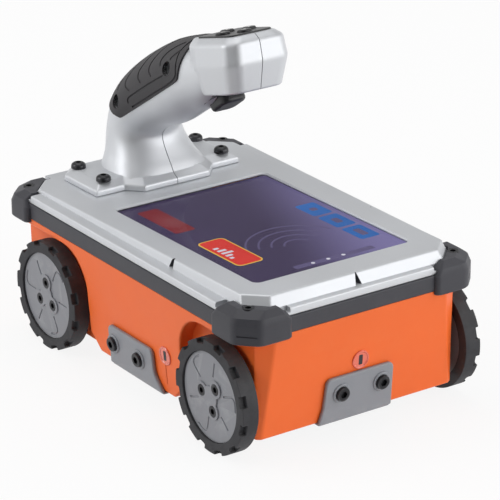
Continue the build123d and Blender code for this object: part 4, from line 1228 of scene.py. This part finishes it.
class SCANNER_OT_guards(bpy.types.Operator):
    """Corner guards with rounded arms, a leaning band, sloping tops and a fine groove"""

    bl_idname = "scanner.guards"
    bl_label = "Corner guards"

    def execute(self, context):
        for end_name, (end, arm, top) in GUARDS.items():
            for side_name, side in SIDES.items():
                corner = f"{end_name}_{side_name}"
                piece = guard(f"guard_{corner}", end, side, arm, top)
                fit(piece, "charcoal_guard", [charcoal()], f"corner_bumper_{corner}")
        return {"FINISHED"}


class SCANNER_OT_rail(bpy.types.Operator):
    """Dark band between the housing and the cover"""

    bl_idname = "scanner.rail"
    bl_label = "Rail"

    def execute(self, context):
        piece = plate("rail", FLAT, cut_box(RAIL_X, RAIL_Y, RAIL_CORNER), RAIL_BOTTOM, RAIL_TOP)
        soften(piece, 0.9)
        cut(piece, plate("rail_inside", FLAT, rounded_box(68.1, 112.9, 1.0, 2), 60, 90))
        fit(smooth(piece), "charcoal_guard", [charcoal()], "bumper_rail")
        return {"FINISHED"}


# Skid plate

def tab_outline(straight, flared, top, knee, toe):
    """Edge of a turned-up tab: an upright side, rounded shoulders, and a side that flares to a toe."""
    points = [(toe, TAB_FOOT), (straight, TAB_FOOT), (straight, top), (flared, top), knee]
    shoulder = size("tab_shoulder")
    return rounded(points, [0, 0, shoulder, shoulder, 11.0])


def tab(where, outline, screws):
    """Turned-up tab with a bevelled edge and a raised boss round each screw."""
    piece = plate("tab", where, outline, 0.0, TAB_THICK)
    soften(piece, 1.0, 3, 40.0)
    for x, y in screws:
        boss = plate("boss", where, moved(circle(5.6, 40), x, y), 1.0, 3.3)
        soften(boss, 0.6, 3, 40.0)
        cut(piece, boss, "UNION")
        cut(piece, plate("screw_room", where, moved(circle(4.2, 32), x, y), TAB_THICK + CLEAR, 6.0))
    return piece


def skid_base():
    """Cross-shaped plate with a thin foot under each tab."""
    half = [(50.3, -107.4), (50.3, -37.0), (62.6, -37.0), (62.6, 23.0), (50.3, 23.0), (50.3, 107.4)]
    corners = half + [(-x, y) for x, y in reversed(half)]
    base = plate("skid", FLAT, rounded(corners, [4.0] * len(corners)), SKID_BOTTOM, 11.85)
    soften(base, 0.8)
    feet = [(end * 2.9, end * 111.0, 23.4, 5.5) for end in (-1, 1)]
    feet += [(end * 65.8, -10.0, 5.8, 25.8) for end in (-1, 1)]
    for x, y, half_x, half_y in feet:
        outline = moved(rounded_box(half_x, half_y, 1.0), x, y)
        cut(base, plate("foot", FLAT, outline, 10.9, 11.82), "UNION")
    return base


class SCANNER_OT_skid(bpy.types.Operator):
    """Wear plate under the housing with its four turned-up tabs"""

    bl_idname = "scanner.skid"
    bl_label = "Skid plate"

    def execute(self, context):
        base = skid_base()
        up = 1 / cos(DRAFT)
        front = tab(
            front_wall(SKID_BOTTOM), tab_outline(21.2, -22.6, 28.7 * up, (-24.2, 11.5), -27.0),
            [(x, FRONT_TAB_RISE * up) for x in FRONT_TAB_SCREWS],
        )
        side = tab(
            side_wall(-1, 0, SKID_BOTTOM), tab_outline(-16.5, 27.6, 26.1 * up, (28.2, 12.0), 36.6),
            [(-y, SIDE_TAB_RISE * up) for y in SIDE_TAB_SCREWS],
        )
        rear = copy_of(front, "tab", turned(180))
        other = copy_of(side, "tab", Matrix.Scale(-1, 4, (1, 0, 0)))
        for piece in (front, rear, side, other):
            cut(base, piece, "UNION")
        fit(smooth(base), "skid_grey", [skid_grey()], "skid_plate")
        return {"FINISHED"}


# Wheels

def trefoil(steps=90, core=6.2, lobe=4.8):
    """Outline of the hub's boss: a core and a lobe round each screw."""
    out = []
    for step in range(steps):
        t = 2 * pi * step / steps
        reach = core
        for screw in range(3):
            a = t - 2 * pi * screw / 3
            gap = (HUB_SCREW_CIRCLE * sin(a)) ** 2
            if gap < lobe ** 2 and cos(a) > 0:
                reach = max(reach, HUB_SCREW_CIRCLE * cos(a) + (lobe ** 2 - gap) ** 0.5)
        out.append((reach * cos(t), reach * sin(t)))
    return out


def hub_screw(angle, step):
    """Place of one of a hub's three screws."""
    return turned(angle + 120 * step) @ shift(HUB_SCREW_CIRCLE, 0)


def tyre_form():
    """Tyre with twelve notches in its outer shoulder, its outer face on the plane."""
    radius, width, inner = size("tyre_radius"), size("tyre_width"), size("hub_radius")
    tyre = lathe("tyre", [(inner, -width), (radius, -width), (radius, 0), (inner, 0)], 144)
    outline = rounded_box(size("notch_depth"), size("notch_length") / 2, 1.0, 3)
    notches = [
        plate("notch", turned(15 + 30 * step) @ shift(radius, 0), outline, -size("notch_width"), 2)
        for step in range(12)
    ]
    cut(tyre, join(notches, "notches"))
    soften(tyre, 0.6, 2, 35.0)
    return smooth(tyre)


def hub_form():
    """Hub with six spoke grooves, a three-lobed boss and a collar on the axle."""
    boss_top = -0.4
    face = boss_top - size("hub_boss")
    back = -8.5
    hub = plate("hub", FLAT, circle(size("hub_radius"), 120), back, face)
    soften(hub, 0.4)
    for step in range(6):
        # Every other groove bends along the rim
        line = [(12.4, 0), (15.0, 0), (18.0, 0), (20.8, 0)]
        line += [(22.6, -6), (22.8, -14), (22.6, -22)] * (step % 2)
        turns = [(r, radians(60 * step + 30 + angle)) for r, angle in line]
        points = [(r * cos(t), r * sin(t), face) for r, t in turns]
        cut(hub, bar("spoke", points, size("spoke_radius")))
    boss = plate("boss", FLAT, trefoil(), face - 0.5, boss_top)
    soften(boss, 0.5, 2, 40.0)
    cut(hub, boss, "UNION")
    cut(hub, plate("collar", FLAT, circle(6.45, 48), -11.8, back + 0.1), "UNION")
    cut(hub, plate("bore", FLAT, circle(4.0, 48), -20, -4.4))
    for step in range(3):
        cut(hub, plate("screw_room", hub_screw(0, step), circle(3.3, 32), -2.4, 2))
    return smooth(hub)


class SCANNER_OT_wheels(bpy.types.Operator):
    """Notched tyres and hubs with a three-lobed boss"""

    bl_idname = "scanner.wheels"
    bl_label = "Wheels"

    def execute(self, context):
        tyre = tyre_form()
        hub = hub_form()
        for end, (y, angle) in AXLES.items():
            body = f"{end}_wheelset"
            for name, side in SIDES.items():
                spot = wheel(end, side, size("tyre_face"))
                piece = copy_of(tyre, f"tyre_{end}_{name}", spot)
                fit(piece, "tyre_rubber", [tyre_rubber()], f"{end}_{name}_tyre", body=body)
                piece = copy_of(hub, f"hub_{end}_{name}", spot @ turned(angle))
                fit(piece, "hub_grey", [hub_grey()], f"{end}_{name}_hub", body=body)
        scrap(tyre)
        scrap(hub)
        return {"FINISHED"}


# Screws

def socket_screw():
    """Cap screw with a hexagon socket, its head standing on the plane."""
    screw = plate("screw", FLAT, circle(size("screw_radius"), 32), 0, 2.0)
    soften(screw, 0.35, 2, 40.0)
    cut(screw, plate("socket", FLAT, circle(1.75, 6), 0.7, 4))
    return smooth(screw)


def button_screw():
    """Button-head screw with a hexagon socket."""
    rows = ((1.0, 0.0), (1.0, 1.2), (0.97, 1.8), (0.88, 2.5), (0.72, 3.05), (0.5, 3.4))
    radius = size("button_radius")
    screw = stack("button", FLAT, 36, [(radius * share, height) for share, height in rows])
    cut(screw, plate("socket", FLAT, circle(1.75, 6), 1.4, 6))
    return smooth(screw, 40)


def screw_set(node, model, spots, body="scanner_body"):
    """Copies of a screw at their places, as one piece."""
    name = f"screws_{node}"
    pieces = [copy_of(model, f"{name}_{i}", spot) for i, spot in enumerate(spots)]
    fit(join(pieces, name), "black_screws", [oxide()], node, body=body)


def tab_screws():
    """Places of the skid plate's larger screws."""
    on_tab = shift(0, 0, TAB_THICK)
    front = [front_wall(SKID_BOTTOM + FRONT_TAB_RISE) @ shift(x, 0) @ on_tab for x in FRONT_TAB_SCREWS]
    rear = [turned(180) @ spot for spot in front]
    side_z = SKID_BOTTOM + SIDE_TAB_RISE
    sides = [side_wall(side, y, side_z) @ on_tab for side in (-1, 1) for y in SIDE_TAB_SCREWS]
    return [spot @ Matrix.Scale(1.26, 4) for spot in front + rear + sides]


class SCANNER_OT_screws(bpy.types.Operator):
    """Socket screws of the guards, hubs, skid plate and grip, and the flange's button heads"""

    bl_idname = "scanner.screws"
    bl_label = "Screws"

    def execute(self, context):
        screw = socket_screw()
        screw_set("corner_bumper_screws", screw, [
            shift(side * GUARD_SCREW_X, end * GUARD_SCREW_Y, top - GUARD_SCREW_DEEP)
            for end, arm, top in GUARDS.values() for side in (-1, 1)
        ])
        for end, (y, angle) in AXLES.items():
            screw_set(f"{end}_hub_screws", screw, [
                wheel(end, side, HUB_SCREW_SEAT) @ hub_screw(angle, step)
                for side in (-1, 1) for step in range(3)
            ], f"{end}_wheelset")
        screw_set("skid_plate_screws", screw, tab_screws())
        screw_set("handle_clamp_screws", screw, [clamp_place(spot, CLAMP_SEAT) for spot in CLAMPS])
        button = button_screw()
        screw_set("handle_base_screws", button, [
            DECK @ shift(side * FLANGE_SCREW_X, y, FLANGE_TOP) for side in (-1, 1) for y in FLANGE_SCREWS_Y
        ])
        scrap(screw)
        scrap(button)
        return {"FINISHED"}


# Controls

def keypad_bezel():
    """Bezel with a round hole for each key."""
    corners = [(14.6, -16.7), (14.6, 17.5), (-14.6, 17.5), (-14.6, -16.7)]
    outline = moved(rounded(corners, [6.0, 3.0, 3.0, 6.0]), 0, PAD_Y)
    bezel = plate("keypad", HEAD_PLAN, outline, HEAD_TOP - 1.0, PAD_TOP)
    soften(bezel, 0.5)
    for x, y, turn in KEYS.values():
        cut(bezel, plate("key_room", HEAD_PLAN, moved(circle(4.3, 40), x, PAD_Y + y), 0, 30))
    return smooth(bezel)


def key_cap(name, x, y, turn):
    """Dished key with a hidden collar and a plain direction mark."""
    spot = HEAD_PLAN @ shift(x, PAD_Y + y)
    low = PAD_TOP - 1.9 - 0.3
    top = PAD_TOP + 1.3
    key = stack(name, spot, 40, (
        (4.6, low - 1.0), (4.6, low), (4.0, low),
        (4.0, top - 0.7), (3.75, top - 0.25), (3.3, top), (2.4, top - 0.1),
    ))
    smooth(key, 40)
    arrow = [(-1.5, 0.9), (0.0, -1.5), (1.5, 0.9)]
    mark = plate("mark", spot @ turned(turn), arrow, top - 0.2, top + 0.02)
    return with_mark(key, mark, [black(), white_print()])


class SCANNER_OT_keypad(bpy.types.Operator):
    """Keypad bezel and four keys with plain direction marks"""

    bl_idname = "scanner.keypad"
    bl_label = "Keypad"

    def execute(self, context):
        fit(keypad_bezel(), "black_keypad", [black()], "keypad_bezel")
        for name, key in KEYS.items():
            piece = key_cap(f"key_{name}_cap", *key)
            fit(piece, "black_keypad", [], f"key_{name}", body=f"key_{name}")
        return {"FINISHED"}


class SCANNER_OT_trigger(bpy.types.Operator):
    """Trigger with a crowned face and its hidden collar"""

    bl_idname = "scanner.trigger"
    bl_label = "Trigger"

    def execute(self, context):
        rows = [
            (9.5, 11.0, 6.5, -9.8), (9.5, 11.0, 6.5, -7.8), (8.0, 9.5, 5.0, -7.8), (8.0, 9.5, 5.0, -2.0),
            (7.6, 9.1, 4.6, -0.8), (6.8, 8.3, 3.8, -0.15), (6.0, 7.5, 3.0, 0.0),
        ]
        piece = loft("trigger", [ring(TRIGGER, rounded_box(x, y, r), z) for x, y, r, z in rows])
        soften(piece, 0.25, 2, 45.0)
        fit(smooth(piece, 40), "black_keypad", [black()], "trigger_button", body="trigger")
        return {"FINISHED"}


# Windows and screen

class SCANNER_OT_windows(bpy.types.Operator):
    """Laser windows with a bevelled rim and a dark slit"""

    bl_idname = "scanner.windows"
    bl_label = "Laser windows"

    def execute(self, context):
        spots = {"front": front_wall(WINDOW_FRONT_Z)}
        for name, side in SIDES.items():
            spots[name] = side_wall(side, WINDOW_SIDE_Y, WINDOW_SIDE_Z)
        rows = (
            (4.4, -3.0), (4.4, 0.0), (5.4, 0.0), (5.4, 0.5), (5.1, 0.8), (4.6, 0.8), (4.1, 0.4), (1.0, 0.4),
        )
        for name, spot in spots.items():
            piece = stack(f"window_{name}", spot, 48, rows)
            smooth(piece, 25)
            slit = plate("slit", spot, rounded_box(1.25, 2.9, 0.6, 4), 0.1, 0.45)
            piece = with_mark(piece, slit, [lens(), inner_black()])
            fit(piece, "laser_lens", [], f"laser_window_{name}")
        return {"FINISHED"}


def picture(name, outline, ink, rise=0.08):
    """Flat part of the picture, standing on the display by its rise."""
    piece = plate(name, SCREEN, outline, PANEL_TOP - 0.1, PANEL_TOP + rise)
    fit(smooth(piece), "display", [ink])


def tile(name, x, y, half_x, half_y, ink, rise=0.08, radius=1.6):
    """Rounded tile of the picture."""
    picture(name, moved(rounded_box(half_x, half_y, radius, 4), x, y), ink, rise)


def arc(reach, width=1.1, steps=24):
    """Narrow arc that opens forward."""
    turns = [radians(20 + 140 * step / steps) for step in range(steps + 1)]
    outer = [(reach * cos(t), reach * sin(t)) for t in turns]
    return outer + [((reach - width) * cos(t), (reach - width) * sin(t)) for t in reversed(turns)]


class SCANNER_OT_screen(bpy.types.Operator):
    """Display under the cover glass, with a plain layout of bars and tiles"""

    bl_idname = "scanner.screen"
    bl_label = "Screen"

    def execute(self, context):
        panel = plate("display", SCREEN, rounded_box(52.4, 70.6, 2.0), PANEL_TOP - 5.4, PANEL_TOP)
        ground = lit("screen_ground", tint("screen"), other=tint("glow"))
        fit(smooth(panel), "display", [ground], "lcd_panel")
        blue = lit("screen_tile", tint("tile"))
        mark = lit("screen_mark", (0.75, 0.74, 0.8), 0.9)
        faint = lit("screen_faint", tint("faint"))
        tile("picture_band", -34, 42, 6.5, 20, lit("screen_band", tint("band")))
        tile("picture_chosen_rim", -32, -18, 8.6, 20.6, lit("screen_outline", (0.8, 0.52, 0.06)), 0.1, 3.4)
        tile("picture_chosen", -32, -18, 7.8, 19.8, lit("screen_chosen", tint("chosen")), 0.14, 2.8)
        for i, high in enumerate((3.2, 5.4, 7.2, 4.2, 2.4)):
            tile(f"picture_bar_{i}", -37.5 + high / 2, -10 - 4 * i, high / 2, 1.1, mark, 0.18, 0.3)
        for i in range(3):
            y = 8 - 22 * i
            tile(f"picture_tile_{i}", 42, y, 6.4, 9.6, blue)
            tile(f"picture_tile_mark_{i}", 42, y, 2.2, 2.2 + 1.4 * i, faint, 0.12, 1.0)
        for i in range(4):
            picture(f"picture_arc_{i}", moved(arc(9 + 7 * i), 4, -32), faint)
        tile("picture_foot", 8, -58, 26, 2.2, faint, 0.08, 1.0)
        for i in range(3):
            tile(f"picture_dot_{i}", -6 + 10 * i, -58, 1.1, 1.1, mark, 0.14, 1.0)
        paint(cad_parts["screen_glass"], [glass()])
        return {"FINISHED"}


class SCANNER_OT_inside(bpy.types.Operator):
    """Finishes of the pieces that keep their solid shape: axles, bushes, boards and battery"""

    bl_idname = "scanner.inside"
    bl_label = "Inside"

    def execute(self, context):
        kept = {
            steel: ("front_axle", "rear_axle", "door_hinge_pin"),
            bronze: ("axle_bearings",),
            board_green: ("main_board", "keypad_board"),
            inner_black: ("antenna_module", "laser_modules", "encoder_sensor", "encoder_disc",
                          "trigger_switch", "battery_pack"),
        }
        for make, nodes in kept.items():
            for node in nodes:
                paint(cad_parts[node], [make()])
        return {"FINISHED"}


# Stage

def floor_paper():
    """Pale paper that looks evenly lit to the camera and in reflections."""
    made, tree, shader = new_material("floor_paper")
    feed(tree, shader, {"Base Color": (0.93, 0.93, 0.93, 1), "Roughness": 0.9, "Specular IOR Level": 0.1})
    path = add(tree, "ShaderNodeLightPath").outputs
    seen = math(tree, "MAXIMUM", path["Is Camera Ray"], path["Is Glossy Ray"])
    seen = math(tree, "MAXIMUM", seen, path["Is Transmission Ray"])
    glow = add(tree, "ShaderNodeEmission").outputs[0]
    inputs = {0: math(tree, "MULTIPLY", seen, 0.88), 1: shader.outputs[0], 2: glow}
    blend = add(tree, "ShaderNodeMixShader", inputs)
    feed(tree, tree.nodes["Material Output"], {"Surface": blend.outputs[0]})
    return made


def dark_felt():
    """Felt of the cards that darken reflections."""
    made, tree, shader = new_material("dark_felt")
    feed(tree, shader, {"Base Color": (0.03, 0.03, 0.03, 1), "Roughness": 1.0})
    return made


def card(name, where, wide, high, paper):
    """Flat card of the stage, its sizes in metres."""
    rest()
    bpy.ops.mesh.primitive_plane_add(size=1.0)
    piece = bpy.context.object
    piece.name = piece.data.name = name
    turn = where.copy()
    turn.translation *= MM
    piece.data.transform(turn @ Matrix.Diagonal((wide, high, 1, 1)))
    edit(piece)
    bpy.ops.mesh.subdivide(number_cuts=4)
    rest()
    paint(piece, [paper])
    return piece


def dark_cards():
    """Two felt cards before the front right corner, which only reflections show."""
    toward = Vector((-0.62, -0.78, 0))
    beside = Vector((0.78, -0.62, 0))
    felt = dark_felt()
    flags = (
        card("flag_low", place(toward * 950 + Vector((0, 0, 1)), (0, 0, 1), beside), 1.3, 1.3, felt),
        card("flag_wall", place(toward * 1100 + Vector((0, 0, 500)), -toward, beside), 1.5, 1.0, felt),
    )
    for flag in flags:
        flag.visible_camera = False
        flag.visible_shadow = False


def sky():
    """White surroundings, dimmer overhead than at the horizon."""
    world = bpy.data.worlds.new("studio")
    bpy.context.scene.world = world
    world.use_nodes = True
    tree = world.node_tree
    way = parts(tree, add(tree, "ShaderNodeTexCoord").outputs["Generated"])
    strength = span(tree, way["Z"], 1.0, 0.36, 0.08, 0.4, interpolation_type="SMOOTHSTEP")
    feed(tree, tree.nodes["Background"], {"Color": (1, 1, 1, 1), "Strength": strength})


def lamp(name, spot, power, wide, high):
    """Soft lamp that looks at the object."""
    data = bpy.data.lights.new(name, "AREA")
    data.shape = "RECTANGLE"
    data.size, data.size_y, data.energy = wide, high, power
    made = bpy.data.objects.new(name, data)
    made.location = spot
    made.rotation_euler = (Vector(LAMP_AIM) - Vector(spot)).to_track_quat("-Z", "Y").to_euler()
    bpy.context.scene.collection.objects.link(made)


def photo_camera():
    """Camera that sees the object as the photograph does."""
    data = bpy.data.cameras.new("photo_camera")
    data.sensor_width = SENSOR
    data.lens = FOCAL / PHOTO * SENSOR
    data.shift_x = (PHOTO / 2 - CENTRE_X) / PHOTO
    data.shift_y = (CENTRE_Y - PHOTO / 2) / PHOTO
    data.clip_start, data.clip_end = 0.05, 50.0
    camera = bpy.data.objects.new("photo_camera", data)
    bpy.context.scene.collection.objects.link(camera)
    look = turned(AZIMUTH) @ Matrix.Rotation(radians(90 - ELEVATION), 4, "X") @ turned(ROLL)
    view = shift(*CAMERA_AIM) @ look
    view.translation = view @ Vector((0, 0, CAMERA_AWAY)) * MM
    camera.matrix_world = view
    return camera


class SCANNER_OT_stage(bpy.types.Operator):
    """Pale floor, soft lamps and the camera"""

    bl_idname = "scanner.stage"
    bl_label = "Stage"

    def execute(self, context):
        card("floor", FLAT, 12.0, 12.0, floor_paper())
        dark_cards()
        sky()
        for name, lamp_row in LAMPS.items():
            lamp(name, *lamp_row)
        context.scene.camera = photo_camera()
        context.scene.view_settings.view_transform = "Standard"
        return {"FINISHED"}


class SCANNER_PT_panel(bpy.types.Panel):
    """Sizes, colours and pieces of the scanner"""

    bl_idname = "SCANNER_PT_panel"
    bl_label = "Scanning radar"
    bl_space_type = "VIEW_3D"
    bl_region_type = "UI"
    bl_category = "Scanner"

    def draw(self, context):
        for owner in (context.scene.scanner_sizes, context.scene.scanner_colours):
            for name in owner.__annotations__:
                self.layout.prop(owner, name)
        for operator in OPERATORS:
            self.layout.operator(operator.bl_idname)


OPERATORS = (
    SCANNER_OT_housing, SCANNER_OT_door, SCANNER_OT_rail, SCANNER_OT_cover, SCANNER_OT_guards,
    SCANNER_OT_skid, SCANNER_OT_handle, SCANNER_OT_grip, SCANNER_OT_wheels, SCANNER_OT_screws,
    SCANNER_OT_keypad, SCANNER_OT_trigger, SCANNER_OT_windows, SCANNER_OT_screen, SCANNER_OT_inside,
    SCANNER_OT_stage,
)
CLASSES = (ScannerSizes, ScannerColours, *OPERATORS, SCANNER_PT_panel)


def register():
    for one in CLASSES:
        bpy.utils.register_class(one)
    bpy.types.Scene.scanner_sizes = bpy.props.PointerProperty(type=ScannerSizes)
    bpy.types.Scene.scanner_colours = bpy.props.PointerProperty(type=ScannerColours)


def unregister():
    del bpy.types.Scene.scanner_sizes
    del bpy.types.Scene.scanner_colours
    for one in reversed(CLASSES):
        bpy.utils.unregister_class(one)


def main():
    register()
    for operator in OPERATORS:
        module, name = operator.bl_idname.split(".")
        getattr(getattr(bpy.ops, module), name)()
    rest()


if __name__ == "__main__":
    main()
